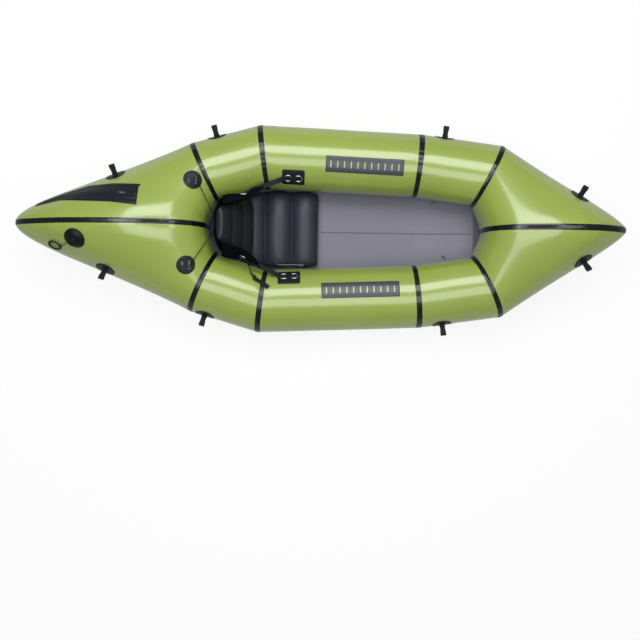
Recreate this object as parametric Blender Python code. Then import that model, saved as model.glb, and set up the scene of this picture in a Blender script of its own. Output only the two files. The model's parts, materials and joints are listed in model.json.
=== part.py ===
"""One-person inflatable packraft: seamed hull, floor, seat, valve, zipper and its fittings.

Metres, +Z up. The bow points along +X and the raft's left side along +Y. The origin is
on the ground under the middle of the raft. The hull is four seam rings a side, joined by
straight tube panels, and a pair of half cones at each end that meet on the centre plane.
An angle on the tube runs from its cockpit side (0) over the top (90) to its outer side.
"""
import math

import bmesh
import bpy
from mathutils import Vector
from mathutils.bvhtree import BVHTree

# Running gap between any two neighbouring pieces
GAP = 0.0003

# Hull: one inflated tube, from tip to tip round the cockpit
HULL_LENGTH = 2.64
TUBE_DIAMETER = 0.282
HULL_WALL = 0.001
TUBE_SIDES = 24
AFT_RING_X = -0.517
AFT_RING_Y = 0.2465
AFT_RING_YAW = math.radians(24.8)
MID_AFT_RING_X = -0.257
MID_AFT_RING_Y = 0.3245
MID_FORE_RING_X = 0.436
MID_FORE_RING_Y = 0.2955
FORE_RING_X = 0.746
FORE_RING_Y = 0.2500
FORE_RING_YAW = math.radians(-26.6)
END_RING_RISE = 0.034
AFT_THROAT_X = -0.498
FORE_THROAT_X = 0.718
STERN_DECK_HEIGHT = 0.435
BOW_DECK_HEIGHT = 0.440
STERN_TIP_ROUNDING_LENGTH = 0.088
BOW_TIP_ROUNDING_LENGTH = 0.046

# Centre-plane outlines, every 30 degrees from the throat over the deck to the tip and back
# below: shares of the length from throat to tip, and of the deck's height
STERN_OUTLINE_SHARES = (
    (0.000, 0.425), (0.018, 0.690), (0.104, 0.885), (0.268, 0.984), (0.500, 0.993), (0.793, 0.892),
    (1.000, 0.625), (0.817, 0.338), (0.549, 0.126), (0.305, 0.080), (0.122, 0.098), (0.024, 0.190),
)
BOW_OUTLINE_SHARES = (
    (0.000, 0.410), (0.025, 0.660), (0.117, 0.852), (0.283, 0.955), (0.533, 1.000), (0.800, 0.960),
    (1.000, 0.732), (0.867, 0.477), (0.617, 0.227), (0.350, 0.095), (0.150, 0.085), (0.033, 0.180),
)
RULING_SHARE = 0.5
FULLNESS_SHARE = 0.3
CONE_STEPS = 5
MID_STEPS = 2

# Seam tapes and floor sheet, each laid over the last
TAPE_WIDTH = 0.023
TAPE_THICKNESS = 0.0005
FLOOR_THICKNESS = 0.0008
FLOOR_OUTER_ANGLE = math.radians(247.5)
FLOOR_INNER_ANGLE = math.radians(307.5)
FLOOR_SPAN_STEPS = 4

# Round and square patches
PATCH_THICKNESS = 0.0012
PATCH_STEP = 0.029
GRAB_PATCH_DIAMETER = 0.088
STERN_PATCH_WAY_SHARES = {"left": 0.5146, "right": 0.4672}
STERN_PATCH_HEIGHT_SHARE = 0.64
AFT_PATCH_SETBACKS = {"left": 0.051, "right": 0.008}
AFT_PATCH_RISE = 0.057
FORE_PATCH_SETBACKS = {"left": 0.193, "right": 0.193}
FORE_PATCH_RISE = 0.037
BOW_PATCH_SETBACKS = {"left": 0.196, "right": 0.177}
BOW_PATCH_HEIGHT_SHARE = 0.716
GRAB_LOOP_LENGTH = 0.050
GRAB_LOOP_ROOT = 0.003
GRAB_LOOP_BULGE = 0.0085
WEBBING_WIDTH = 0.025
WEBBING_THICKNESS = 0.0016
TIE_PATCH_DIAMETER = 0.082
TIE_PATCHES = {"left": (-0.053, 0.189), "right": (-0.076, -0.1786)}
TIE_BAR_SPAN = 0.024
TIE_BAR_WIDTH = 0.010
TIE_BAR_HEIGHT = 0.005
TIE_BAR_SPACING = 0.030
BRIDGE_SINK_SHARE = 0.7

# Ring patches at the seat, each with two wire rings held by one webbing tab
RING_PATCH_LENGTH = 0.100
RING_PATCH_WIDTH = 0.080
RING_PATCH_CORNER = 0.009
RING_PATCH_ANGLE = math.radians(45.5)
RING_PATCH_X = {"left": -0.117, "right": -0.130}
D_RING_WIDTH = 0.033
D_RING_WIRE = 0.0034
D_RING_BOW = 0.027
D_RING_SPACING = 0.024
D_RING_BAR_SHARES = (-0.86, -0.43, 0.0, 0.43, 0.86)
TAB_WIDTH = 0.015
TAB_WALL = 0.0014
TAB_CLEARANCE = 0.0004

# Slotted lash strips along the tube beside the paddler's legs
LASH_STRIP_LENGTH = 0.342
LASH_STRIP_WIDTH = 0.070
LASH_STRIP_ANGLE = math.radians(14.5)
LASH_STRIP_X = {"left": 0.192, "right": 0.181}
LASH_STRIP_THICKNESS = 0.0018
LASH_SLOTS = 11
LASH_SLOT_LENGTH = 0.030
LASH_SLOT_WIDTH = 0.006
LASH_SLOT_PITCH = 0.0297

# Inflation valve on the stern's right side
VALVE_SETBACK = 0.277
VALVE_Y = -0.076
VALVE_SIDES = 24
VALVE_FLANGE_DIAMETER = 0.093
VALVE_FLANGE_EDGE = 0.0012
VALVE_NECK_DIAMETER = 0.038
VALVE_NECK_HEIGHT = 0.026
VALVE_SHOULDER_HEIGHT = 0.009
VALVE_SLOPE_SHARE = 0.55
VALVE_BORE_DIAMETER = 0.031
VALVE_SEAT_DIAMETER = 0.023
VALVE_SEAT_DEPTH = 0.004
VALVE_SEAT_THICKNESS = 0.002
VALVE_SLEEVE_DEPTH = 0.016
PLUNGER_THICKNESS = 0.002
PLUNGER_STEM_DIAMETER = 0.006
PLUNGER_STEM_HEIGHT = 0.012
CAP_DIAMETER = 0.045
CAP_WALL = 0.002
CAP_SKIRT = 0.011
CAP_GRIP_HEIGHT = 0.010
CAP_GRIP_DIAMETER = 0.026
CAP_GRIP_TOP_SHARE = 0.92
CAP_EYE_DIAMETER = 0.014
CAP_EYE_WIRE = 0.003
TETHER_RING_SETBACK = 0.178
TETHER_RING_Y = -0.098
TETHER_RING_LENGTH = 0.060
TETHER_RING_WIDTH = 0.052
TETHER_WIRE = 0.005
TETHER_CORD = 0.003
TETHER_KNOT_DIAMETER = 0.005
TETHER_ANCHOR_SHARE = 0.8
TETHER_STEPS = 4

# Cargo zipper on the stern's left side: its ends as shares of the way from the tip to the
# throat, its place across and its half width
ZIPPER_AFT_SHARE = 0.1034
ZIPPER_FORE_SHARE = 0.6630
ZIPPER_OFFSET = 0.123
ZIPPER_HALF_WIDTH = 0.048
ZIPPER_OFFSET_SHARES = (0.60, 0.86, 0.99, 1.00, 0.93)
ZIPPER_WIDTH_SHARES = (0.14, 0.34, 0.78, 0.90, 1.00)
ZIPPER_STEPS = 16
ZIPPER_PANEL_THICKNESS = 0.0012
ZIPPER_COIL_WIDTH = 0.009
ZIPPER_COIL_HEIGHT = 0.0030
ZIPPER_RIDGE_SHARE = 0.5
ZIPPER_CREST_SHARE = 0.6
SLIDER_PLACE_SHARE = 0.84
SLIDER_LENGTH = 0.026
SLIDER_WIDTH = 0.017
SLIDER_PLATE = 0.0025
SLIDER_CLEARANCE = 0.0012
SLIDER_PULL_LENGTH = 0.030
SLIDER_PULL_WIDTH = 0.010
SLIDER_TOP_SHARE = 0.6
PULL_RISE_SHARE = 0.3

# Seat: base on the floor, backrest hinged at the base's rear edge
SEAT_FRONT_X = -0.009
SEAT_REAR_X = -0.372
SEAT_WIDTH = 0.342
SEAT_REAR_WIDTH_SHARE = 0.80
SEAT_FULL_WIDTH_SHARE = 0.34
SEAT_HEIGHT = 0.088
SEAT_CHANNELS = 3
BACKREST_LENGTH = 0.289
BACKREST_WIDTH = 0.288
BACKREST_THICKNESS = 0.055
BACKREST_TOP_WIDTH_SHARE = 0.50
BACKREST_CHANNELS = 3
BACKREST_LEAN = math.radians(26.5)
BACKREST_AXIS_X = -0.280
BACKREST_AXIS_Z = 0.128
BACKREST_START = 0.0195
CUSHION_SIDES = 16
CHANNEL_STEPS = 6
GROOVE_SHARE = 0.66
PAD_END_SHARE = 0.30
PAD_SIDE_PULL_SHARE = 0.035
PAD_END_PULL_SHARE = 0.06
PAD_CROWN_SHARE = 0.10
PAD_SWELL_POWER = 0.7
PAD_ACROSS_POWER = 0.55
PAD_UP_POWER = 0.75
SEAT_TUBE_DIAMETER = 0.008
SEAT_TUBE_LENGTH = 0.122
SEAT_TUBE_X = -0.194
SEAT_TUBE_SIDE_SHARE = 0.93
SEAT_TUBE_HEIGHT_SHARE = 0.86
SEAT_MOUTHPIECE_DIAMETER = 0.013
SEAT_MOUTHPIECE_LENGTH = 0.020
LADDER_LOCK_LENGTH = 0.026
LADDER_LOCK_WIDTH = 0.034
LADDER_LOCK_THICKNESS = 0.0045
LADDER_BAR = 0.0035
LOCK_TAB_LENGTH = 0.076
LOCK_DOWN_SHARE = 0.667
STRAP_WIDTH = 0.022
STRAP_THICKNESS = 0.0015
BACK_CORD_DIAMETER = 0.004
BACK_LOOP_REACH = 0.253

# Wings that run forward from the backrest's sides into the straps: points of the upper rim and
# of the foot as shares of the wing's reach back, the backrest's half width and its length
WING_REACH = 0.150
WING_THICKNESS = 0.0022
WING_RIM_SHARES = (
    (0.880, 0.570, 0.882), (0.647, 0.640, 0.879), (0.267, 0.780, 0.768), (0.000, 0.990, 0.633),
)
WING_FOOT_SHARES = (
    (1.000, 0.868, 0.464), (0.767, 0.930, 0.422), (0.433, 0.972, 0.405), (0.100, 1.160, 0.405),
)
WING_TIP_SHARE = 0.45
WING_TIP_EDGE_SHARES = (-0.43, 0.43)
WING_DOWN_STEPS = 4

# Shared divisions of round pieces
WIRE_SIDES = 8
DISC_SIDES = 12
HALF_SHARES = (-0.5, 0.5)

TUBE_RADIUS = TUBE_DIAMETER / 2
TAPE_LIFT = GAP
FLOOR_LIFT = TAPE_LIFT + TAPE_THICKNESS + GAP
FLOOR_OUTER_LIFT = FLOOR_LIFT + FLOOR_THICKNESS
TUBE_AXIS_Z = (TUBE_RADIUS + FLOOR_OUTER_LIFT) * math.cos(math.pi / TUBE_SIDES)
PATCH_LIFT = GAP + PATCH_STEP ** 2 / (8 * TUBE_RADIUS)
STERN_TIP_X = -HULL_LENGTH / 2
BOW_TIP_X = HULL_LENGTH / 2
SKY = 2 * STERN_DECK_HEIGHT
UP = Vector((0, 0, 1))


def clear_scene():
    """Start from an empty file."""
    for old in list(bpy.data.objects):
        bpy.data.objects.remove(old, do_unlink=True)


def make_material(name, colour, roughness, metallic=0.0):
    """A plain Principled finish."""
    material = bpy.data.materials.new(name)
    material.use_nodes = True
    shader = material.node_tree.nodes["Principled BSDF"]
    shader.inputs["Base Color"].default_value = (*colour, 1.0)
    shader.inputs["Roughness"].default_value = roughness
    shader.inputs["Metallic"].default_value = metallic
    return material


def add_mesh(name, points, faces, material, origin=None):
    """Make one object from points in world space, with its own origin where given."""
    origin = Vector(origin or (0, 0, 0))
    mesh = bpy.data.meshes.new(name)
    mesh.from_pydata([tuple(Vector(p) - origin) for p in points], [], faces)
    shape = bmesh.new()
    shape.from_mesh(mesh)
    bmesh.ops.remove_doubles(shape, verts=shape.verts, dist=GAP / 30)
    bmesh.ops.recalc_face_normals(shape, faces=shape.faces)
    shape.to_mesh(mesh)
    shape.free()
    mesh.shade_smooth()
    mesh.set_sharp_from_angle(angle=math.radians(40))
    mesh.materials.append(material)
    piece = bpy.data.objects.new(name, mesh)
    piece.location = origin
    bpy.context.scene.collection.objects.link(piece)
    return piece


def add_boolean(piece, tool, operation):
    """Join a hidden shape to a piece, or cut it out."""
    tool.hide_render = True
    tool.display_type = "WIRE"
    change = piece.modifiers.new(tool.name, "BOOLEAN")
    change.operation = operation
    change.object = tool
    change.solver = "EXACT"


def grid_faces(rows, columns, closed=False, row_closed=False, flipped=None):
    """Triangles of a grid of points stored row by row. Flipped cells are cut the other way."""
    faces = []
    for i in range(rows if row_closed else rows - 1):
        for j in range(columns if closed else columns - 1):
            a = i * columns + j
            b = (i + 1) % rows * columns + j
            c = (i + 1) % rows * columns + (j + 1) % columns
            d = i * columns + (j + 1) % columns
            if flipped and flipped(i, j):
                faces.append((a, b, d))
                faces.append((b, c, d))
            else:
                faces.append((a, b, c))
                faces.append((a, c, d))
    return faces


def welded_faces(points, faces):
    """The same faces with points at one place made one, less those that lost their area."""
    seen = {}
    same = [seen.setdefault(tuple(round(c / GAP * 300) for c in p), k) for k, p in enumerate(points)]
    kept = [tuple(same[k] for k in face) for face in faces]
    return [face for face in kept if len(set(face)) == len(face)]


def two_skin_solid(name, outer, inner, faces, material, origin=None):
    """A thin closed body: an outer skin, an inner skin and the rims between them."""
    count = len(outer)
    faces = welded_faces(outer, faces)
    used = {}
    for face in faces:
        for a, b in zip(face, face[1:] + face[:1]):
            used[(a, b)] = True
    solid = list(faces)
    solid += [tuple(count + k for k in reversed(face)) for face in faces]
    for a, b in used:
        if (b, a) not in used:
            solid.append((b, a, count + a))
            solid.append((b, count + a, count + b))
    return add_mesh(name, list(outer) + list(inner), solid, material, origin)


def turned(profile, base, axis, sides, name, material, origin=None):
    """Turn a closed profile of (radius, height) round an axis through base."""
    side = axis.orthogonal().normalized()
    other = axis.cross(side)
    points = []
    for radius, height in profile:
        for k in range(sides):
            turn = 2 * math.pi * k / sides
            points.append(base + axis * height + (side * math.cos(turn) + other * math.sin(turn)) * radius)
    faces = grid_faces(len(profile), sides, closed=True, row_closed=profile[0][0] > 0)
    return add_mesh(name, points, faces, material, origin)


def tube_points(path, radius, sides):
    """Rings of points round a path, kept from twisting."""
    count = len(path)
    points = []
    first = (path[1] - path[0]).normalized()
    side = first.orthogonal().normalized()
    for i, place in enumerate(path):
        ahead = path[min(i + 1, count - 1)]
        behind = path[max(i - 1, 0)]
        along = (ahead - behind).normalized()
        side = (side - along * side.dot(along)).normalized()
        other = along.cross(side)
        for k in range(sides):
            turn = 2 * math.pi * k / sides
            points.append(place + (side * math.cos(turn) + other * math.sin(turn)) * radius)
    return points


def tube(name, path, radius, sides, material, origin=None):
    """A round bar along an open path with flat ends."""
    points = tube_points(path, radius, sides)
    faces = grid_faces(len(path), sides, closed=True)
    last = len(points) - sides
    faces.append(tuple(range(sides)))
    faces.append(tuple(range(last, last + sides)))
    return add_mesh(name, points, faces, material, origin)


def ball(name, centre, radius, sides, material):
    """A round knot."""
    profile = []
    for k in range(sides // 2 + 1):
        turn = math.pi * k / (sides // 2)
        profile.append((radius * math.sin(turn), -radius * math.cos(turn)))
    profile[0] = (0, -radius)
    profile[-1] = (0, radius)
    return turned(profile, centre, UP, sides, name, material)


def wire_loop(name, path, radius, sides, material, origin=None):
    """A round wire along a closed path that lies in one plane."""
    centre = sum(path, Vector()) / len(path)
    normal = (path[0] - centre).cross(path[len(path) // 4] - centre).normalized()
    count = len(path)
    points = []
    for i, place in enumerate(path):
        along = (path[(i + 1) % count] - path[i - 1]).normalized()
        out = along.cross(normal)
        for k in range(sides):
            turn = 2 * math.pi * k / sides
            points.append(place + (out * math.cos(turn) + normal * math.sin(turn)) * radius)
    return add_mesh(name, points, grid_faces(count, sides, True, True), material, origin)


def block(name, centre, axes, size, material):
    """A box of a given size, turned to three axes."""
    points = []
    for a in HALF_SHARES:
        for b in HALF_SHARES:
            for c in HALF_SHARES:
                corner = axes[0] * (a * size[0]) + axes[1] * (b * size[1]) + axes[2] * (c * size[2])
                points.append(centre + corner)
    faces = [(0, 1, 3, 2), (4, 6, 7, 5), (0, 4, 5, 1), (2, 3, 7, 6), (0, 2, 6, 4), (1, 5, 7, 3)]
    return add_mesh(name, points, faces, material)


def extruded(name, profile, base, axes, width, material, origin=None):
    """Push a closed flat profile of (along, up) to both sides by half a width."""
    along, across, up = axes
    points = []
    for share in HALF_SHARES:
        for a, h in profile:
            points.append(base + along * a + up * h + across * (share * width))
    count = len(profile)
    faces = [tuple(range(count)), tuple(range(count, 2 * count))]
    for k in range(count):
        n = (k + 1) % count
        faces.append((k, n, count + n, count + k))
    return add_mesh(name, points, faces, material, origin)


class Ring:
    """A seam ring: an upright circle of the tube, turned in plan."""

    def __init__(self, x, y, z, yaw, tube_yaw):
        self.centre = Vector((x, y, z))
        self.outward = Vector((-math.sin(yaw), math.cos(yaw), 0))
        self.ahead = Vector((math.cos(yaw), math.sin(yaw), 0))
        self.stretch = 1 / math.cos(yaw - tube_yaw)

    def point(self, angle, lift):
        reach = (TUBE_RADIUS + lift) * self.stretch
        height = TUBE_RADIUS + lift
        return self.centre + self.outward * (-math.cos(angle) * reach) + UP * (math.sin(angle) * height)


def make_rings():
    """The four seam rings of the left side, from aft to fore."""
    places = (
        (AFT_RING_X, AFT_RING_Y), (MID_AFT_RING_X, MID_AFT_RING_Y),
        (MID_FORE_RING_X, MID_FORE_RING_Y), (FORE_RING_X, FORE_RING_Y),
    )
    yaws = [math.atan2(b[1] - a[1], b[0] - a[0]) for a, b in zip(places, places[1:])]
    high = TUBE_AXIS_Z + END_RING_RISE
    return (
        Ring(*places[0], high, AFT_RING_YAW, yaws[0]),
        Ring(*places[1], TUBE_AXIS_Z, (yaws[0] + yaws[1]) / 2, yaws[1]),
        Ring(*places[2], TUBE_AXIS_Z, (yaws[1] + yaws[2]) / 2, yaws[1]),
        Ring(*places[3], high, FORE_RING_YAW, yaws[2]),
    )


class HullEnd:
    """The centre-plane outline of the stern or the bow."""

    def __init__(self, throat_x, tip_x, height, shares, fullness):
        self.fullness = fullness
        self.knots = [Vector((throat_x + (tip_x - throat_x) * a, 0, height * h)) for a, h in shares]
        reach = max(abs(self.outline(angle).x - throat_x) for angle in ring_angles())
        stretch = abs(tip_x - throat_x) / reach
        for knot in self.knots:
            knot.x = throat_x + (knot.x - throat_x) * stretch
        self.middle = sum(self.knots, Vector()) / len(self.knots)

    def outline(self, angle):
        count = len(self.knots)
        place = angle / (2 * math.pi) * count
        base = math.floor(place)
        t = place - base
        p = [self.knots[(base + k) % count] for k in (-1, 0, 1, 2)]
        curve = p[1] * 2 + (p[2] - p[0]) * t
        curve += (p[0] * 2 - p[1] * 5 + p[2] * 4 - p[3]) * t ** 2
        curve += (p[1] * 3 - p[0] - p[2] * 3 + p[3]) * t ** 3
        return curve / 2

    def point(self, angle, lift):
        step = math.pi / 180
        along = (self.outline(angle + step) - self.outline(angle - step)).normalized()
        out = Vector((-along.z, 0, along.x))
        here = self.outline(angle)
        if out.dot(here - self.middle) < 0:
            out = -out
        return here + out * lift


class StraightZone:
    """A tube panel between two rings."""

    def __init__(self, first, last):
        self.first = first
        self.last = last
        self.length = (last.centre - first.centre).length

    def point(self, angle, place, lift):
        share = place / self.length
        return self.first.point(angle, lift).lerp(self.last.point(angle, lift), share)

    def rows(self, steps, gap=0.0):
        edge = TAPE_WIDTH / 2
        inner = [edge + (self.length - 2 * edge) * k / steps for k in range(steps + 1)]
        return [gap / 2] + inner + [self.length - gap / 2]


class ConeZone:
    """A half cone from a ring to the centre plane, straight along most of its rulings."""

    def __init__(self, ring, end, sense):
        self.ring = ring
        self.end = end
        self.sense = sense

    def handles(self, angle, lift, gap):
        start = self.ring.point(angle, lift) + self.ring.ahead * (self.sense * gap / 2)
        finish = self.end.point(angle, lift) + Vector((0, gap / 2, 0))
        reach = (finish - start).length
        fullness = min(self.end.fullness, FULLNESS_SHARE * reach)
        return start, start.lerp(finish, RULING_SHARE), finish + Vector((0, fullness, 0)), finish

    def point(self, angle, share, lift, gap=0.0):
        p = self.handles(angle, lift, gap)
        rest = 1 - share
        near = p[0] * rest ** 3 + p[1] * (3 * share * rest ** 2)
        return near + p[2] * (3 * share ** 2 * rest) + p[3] * share ** 3

    def shares(self, angle, steps):
        p = self.handles(angle, 0.0, 0.0)
        near = TAPE_WIDTH / 2 / (3 * (p[1] - p[0]).length)
        far = 1 - TAPE_WIDTH / 2 / (3 * (p[3] - p[2]).length)
        return [0.0] + [near + (far - near) * k / steps for k in range(steps + 1)] + [1.0]


def make_zones():
    """The five zones of the left side, from stern to bow."""
    rings = make_rings()
    stern = HullEnd(
        AFT_THROAT_X, STERN_TIP_X, STERN_DECK_HEIGHT, STERN_OUTLINE_SHARES, STERN_TIP_ROUNDING_LENGTH)
    bow = HullEnd(
        FORE_THROAT_X, BOW_TIP_X, BOW_DECK_HEIGHT, BOW_OUTLINE_SHARES, BOW_TIP_ROUNDING_LENGTH)
    return {
        "stern_cone": ConeZone(rings[0], stern, -1),
        "aft_shoulder": StraightZone(rings[0], rings[1]),
        "mid_tube": StraightZone(rings[1], rings[2]),
        "fore_shoulder": StraightZone(rings[2], rings[3]),
        "bow_cone": ConeZone(rings[3], bow, 1),
    }


def side_of(point, side):
    """The same point on the left (1) or right (-1) side."""
    return Vector((point.x, point.y * side, point.z))


def ring_angles(sides=TUBE_SIDES):
    """Angles of the tube's edges, with a flat facet at the very bottom."""
    return [2 * math.pi * (k + 0.5) / sides for k in range(sides)]


def cone_grid(zone, side, angles, steps, lift, gap, rows=None):
    """Points of a half cone, row by row from its ring to the centre plane."""
    columns = [zone.shares(angle, steps) for angle in angles]
    chosen = rows or range(steps + 3)
    points = []
    for i in chosen:
        for angle, shares in zip(angles, columns):
            points.append(side_of(zone.point(angle, shares[i], lift, gap), side))
    return points


def tube_grid(zone, side, angles, places, lift):
    """Points of a straight panel, row by row."""
    return [side_of(zone.point(angle, place, lift), side) for place in places for angle in angles]


def cone_faces(name, count):
    """Triangles of a half cone. Its cells are cut as if its rows ran from stern to bow."""
    stern = name == "stern_cone"
    return grid_faces(CONE_STEPS + 3, count, closed=True, flipped=lambda i, j: stern)


def add_hull(zones, materials):
    """The ten inflated panels, each an open shell cut at its seams."""
    angles = ring_angles()
    count = len(angles)
    panels = []
    for side, word in ((1, "left"), (-1, "right")):
        for name in ("aft_shoulder", "mid_tube", "fore_shoulder"):
            zone = zones[name]
            places = zone.rows(MID_STEPS, GAP)
            outer = tube_grid(zone, side, angles, places, 0.0)
            inner = tube_grid(zone, side, angles, places, -HULL_WALL)
            faces = grid_faces(len(places), count, closed=True)
            panels.append(two_skin_solid(f"{name}_{word}", outer, inner, faces, materials["hull"]))
        for name in ("stern_cone", "bow_cone"):
            zone = zones[name]
            outer = cone_grid(zone, side, angles, CONE_STEPS, 0.0, GAP)
            inner = cone_grid(zone, side, angles, CONE_STEPS, -HULL_WALL, GAP)
            faces = cone_faces(name, count)
            panels.append(two_skin_solid(f"{name}_{word}", outer, inner, faces, materials["hull"]))
    return {panel.name: panel for panel in panels}


def ring_tape_points(zones, name, side, angles, lift):
    """Three rows across a seam ring: one tape edge, the seam and the other edge."""
    edge = TAPE_WIDTH / 2
    before, after = {
        "aft_ring": ("stern_cone", "aft_shoulder"), "mid_aft_ring": ("aft_shoulder", "mid_tube"),
        "mid_fore_ring": ("mid_tube", "fore_shoulder"), "fore_ring": ("fore_shoulder", "bow_cone"),
    }[name]
    rows = []
    for zone_name, last in ((before, True), (after, False)):
        zone = zones[zone_name]
        if isinstance(zone, ConeZone):
            row = cone_grid(zone, side, angles, CONE_STEPS, lift, 0.0, rows=[1])
        else:
            row = tube_grid(zone, side, angles, [zone.length - edge if last else edge], lift)
        rows.append(row)
    middle = zones[after if name != "fore_ring" else before]
    ring = middle.last if name == "fore_ring" else middle.first
    seam = [side_of(ring.point(angle, lift), side) for angle in angles]
    return rows[0] + seam + rows[1]


def add_tapes(zones, materials):
    """Tapes over the eight seam rings and round both centre seams."""
    angles = ring_angles()
    count = len(angles)
    faces = grid_faces(3, count, closed=True)
    low, high = TAPE_LIFT, TAPE_LIFT + TAPE_THICKNESS
    for name in ("aft_ring", "mid_aft_ring", "mid_fore_ring", "fore_ring"):
        for side, word in ((1, "left"), (-1, "right")):
            outer = ring_tape_points(zones, name, side, angles, high)
            inner = ring_tape_points(zones, name, side, angles, low)
            two_skin_solid(f"{name}_tape_{word}", outer, inner, faces, materials["tape"])
    for name in ("stern_cone", "bow_cone"):
        skins = []
        for lift in (high, low):
            edge = CONE_STEPS + 1
            left = cone_grid(zones[name], 1, angles, CONE_STEPS, lift, 0.0, rows=[edge])
            seam = cone_grid(zones[name], 1, angles, CONE_STEPS, lift, 0.0, rows=[edge + 1])
            right = cone_grid(zones[name], -1, angles, CONE_STEPS, lift, 0.0, rows=[edge])
            skins.append(left + seam + right)
        tape_name = name.replace("cone", "centre_tape")
        odd_row = 0 if name == "stern_cone" else 1
        faces = grid_faces(3, count, closed=True, flipped=lambda i, j: i == odd_row)
        two_skin_solid(tape_name, skins[0], skins[1], faces, materials["tape"])


def floor_rows(zones, side, angles, lift):
    """The floor sheet's rows along one side's tube, from stern tip seam to bow tip seam."""
    count = len(angles)
    rows = []
    stern = cone_grid(zones["stern_cone"], side, angles, CONE_STEPS, lift, 0.0)
    rows += [stern[i * count:(i + 1) * count] for i in reversed(range(CONE_STEPS + 3))]
    for name in ("aft_shoulder", "mid_tube", "fore_shoulder"):
        zone = zones[name]
        places = zone.rows(MID_STEPS)[1:]
        grid = tube_grid(zone, side, angles, places, lift)
        rows += [grid[i * count:(i + 1) * count] for i in range(len(places))]
    bow = cone_grid(zones["bow_cone"], side, angles, CONE_STEPS, lift, 0.0)
    rows += [bow[i * count:(i + 1) * count] for i in range(1, CONE_STEPS + 3)]
    return rows


def floor_angles():
    """The tube's edges that the floor sheet is welded over, from outer to cockpit side."""
    slack = math.radians(1)
    return [a for a in ring_angles() if FLOOR_OUTER_ANGLE - slack < a < FLOOR_INNER_ANGLE + slack]


def floor_skin(zones, lift):
    """One skin of the floor: left flange, span across the cockpit, right flange."""
    angles = floor_angles()
    points = []
    for left, right in zip(floor_rows(zones, 1, angles, lift), floor_rows(zones, -1, angles, lift)):
        points += left
        for k in range(1, FLOOR_SPAN_STEPS):
            points.append(left[-1].lerp(right[-1], k / FLOOR_SPAN_STEPS))
        points += reversed(right)
    return points, 2 * len(angles) + FLOOR_SPAN_STEPS - 1


def add_floor(zones, materials):
    """The floor sheet, welded under the tubes and spanning the cockpit."""
    outer, columns = floor_skin(zones, FLOOR_OUTER_LIFT)
    inner, _ = floor_skin(zones, FLOOR_LIFT)
    middle = columns // 2
    faces = grid_faces(len(outer) // columns, columns, flipped=lambda i, j: j >= middle)
    return two_skin_solid("floor_sheet", outer, inner, faces, materials["floor"])


def hull_tree(zones, fineness):
    """The hull's outer skin as one surface, as it is built or several times finer."""
    sides = TUBE_SIDES * fineness
    angles = ring_angles(sides)
    points, faces = [], []
    for side in (1, -1):
        for name, zone in zones.items():
            steps = CONE_STEPS * fineness
            if isinstance(zone, ConeZone):
                grid = cone_grid(zone, side, angles, steps, 0.0, 0.0)
            else:
                grid = tube_grid(zone, side, angles, zone.rows(MID_STEPS), 0.0)
            odd = name == "stern_cone"
            start = len(points)
            points += grid
            rows = len(grid) // sides
            for face in grid_faces(rows, sides, closed=True, flipped=lambda i, j: odd):
                faces.append(tuple(start + k for k in face))
    return BVHTree.FromPolygons(points, faces)


class Surface:
    """The hull's skin to lay pieces on: a smooth copy gives directions, the higher of two heights."""

    def __init__(self, zones):
        self.smooth = hull_tree(zones, 4)
        self.built = hull_tree(zones, 1)

    def ray_cast(self, start, towards):
        hit, normal = self.smooth.ray_cast(start, towards)[:2]
        other = self.built.ray_cast(start, towards)[0]
        if other is not None and (other - start).length < (hit - start).length:
            hit = other
        return hit, normal


class Seat:
    """A place on the hull: its point, the way out of the hull and two directions along it."""

    def __init__(self, surface, start, towards, along):
        self.surface = surface
        hit, normal = surface.ray_cast(start, towards)
        self.out = normal if normal.dot(towards) < 0 else -normal
        self.point = hit
        self.along = (along - self.out * along.dot(self.out)).normalized()
        self.across = self.out.cross(self.along)

    def lay(self, a, b, lift):
        """A point over (a, b) on the hull, lifted off it."""
        reach = TUBE_RADIUS
        start = self.point + self.along * a + self.across * b + self.out * reach
        hit, normal = self.surface.ray_cast(start, -self.out)
        if normal.dot(self.out) < 0:
            normal = -normal
        return hit + normal * lift

    def level(self, a, b):
        """How far the hull lies below this place's own plane at (a, b), as a negative height."""
        return (self.lay(a, b, 0.0) - self.point).dot(self.out)


def laid_sheet(name, seat, flat, faces, thickness, material, lift=PATCH_LIFT, raised=None):
    """A sheet that lies on the hull, with extra height at some of its points."""
    raised = raised or [0.0] * len(flat)
    outer = [seat.lay(a, b, lift + thickness + h) for (a, b), h in zip(flat, raised)]
    inner = [seat.lay(a, b, lift) for a, b in flat]
    return two_skin_solid(name, outer, inner, faces, material)


def disc_sheet(radius):
    """Points and faces of a flat disc: a centre and two rings."""
    flat = [(0.0, 0.0)]
    for reach in (radius / 2, radius):
        for k in range(DISC_SIDES):
            turn = 2 * math.pi * k / DISC_SIDES
            flat.append((reach * math.cos(turn), reach * math.sin(turn)))
    faces = []
    for k in range(DISC_SIDES):
        n = (k + 1) % DISC_SIDES
        faces.append((0, 1 + k, 1 + n))
        a, b, c, d = 1 + k, 1 + DISC_SIDES + k, 1 + DISC_SIDES + n, 1 + n
        faces.append((a, b, c))
        faces.append((a, c, d))
    return flat, faces


def plate_sheet(length, width, corner, strips):
    """Points and faces of a flat plate with round corners, in strips across its width."""
    half, side = length / 2, width / 2
    lean = math.sqrt(0.5)
    cut = corner * (1 - lean)
    edge = [(half - corner, side), (half - cut, side - cut), (half, side - corner)]
    inner = [side - corner - (width - 2 * corner) * k / strips for k in range(1, strips)]
    rows = edge + [(half, b) for b in inner] + [(a, -b) for a, b in reversed(edge)]
    flat = []
    for reach, b in rows:
        flat += [(reach, b), (-reach, b)]
    return flat, grid_faces(len(rows), 2)


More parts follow.
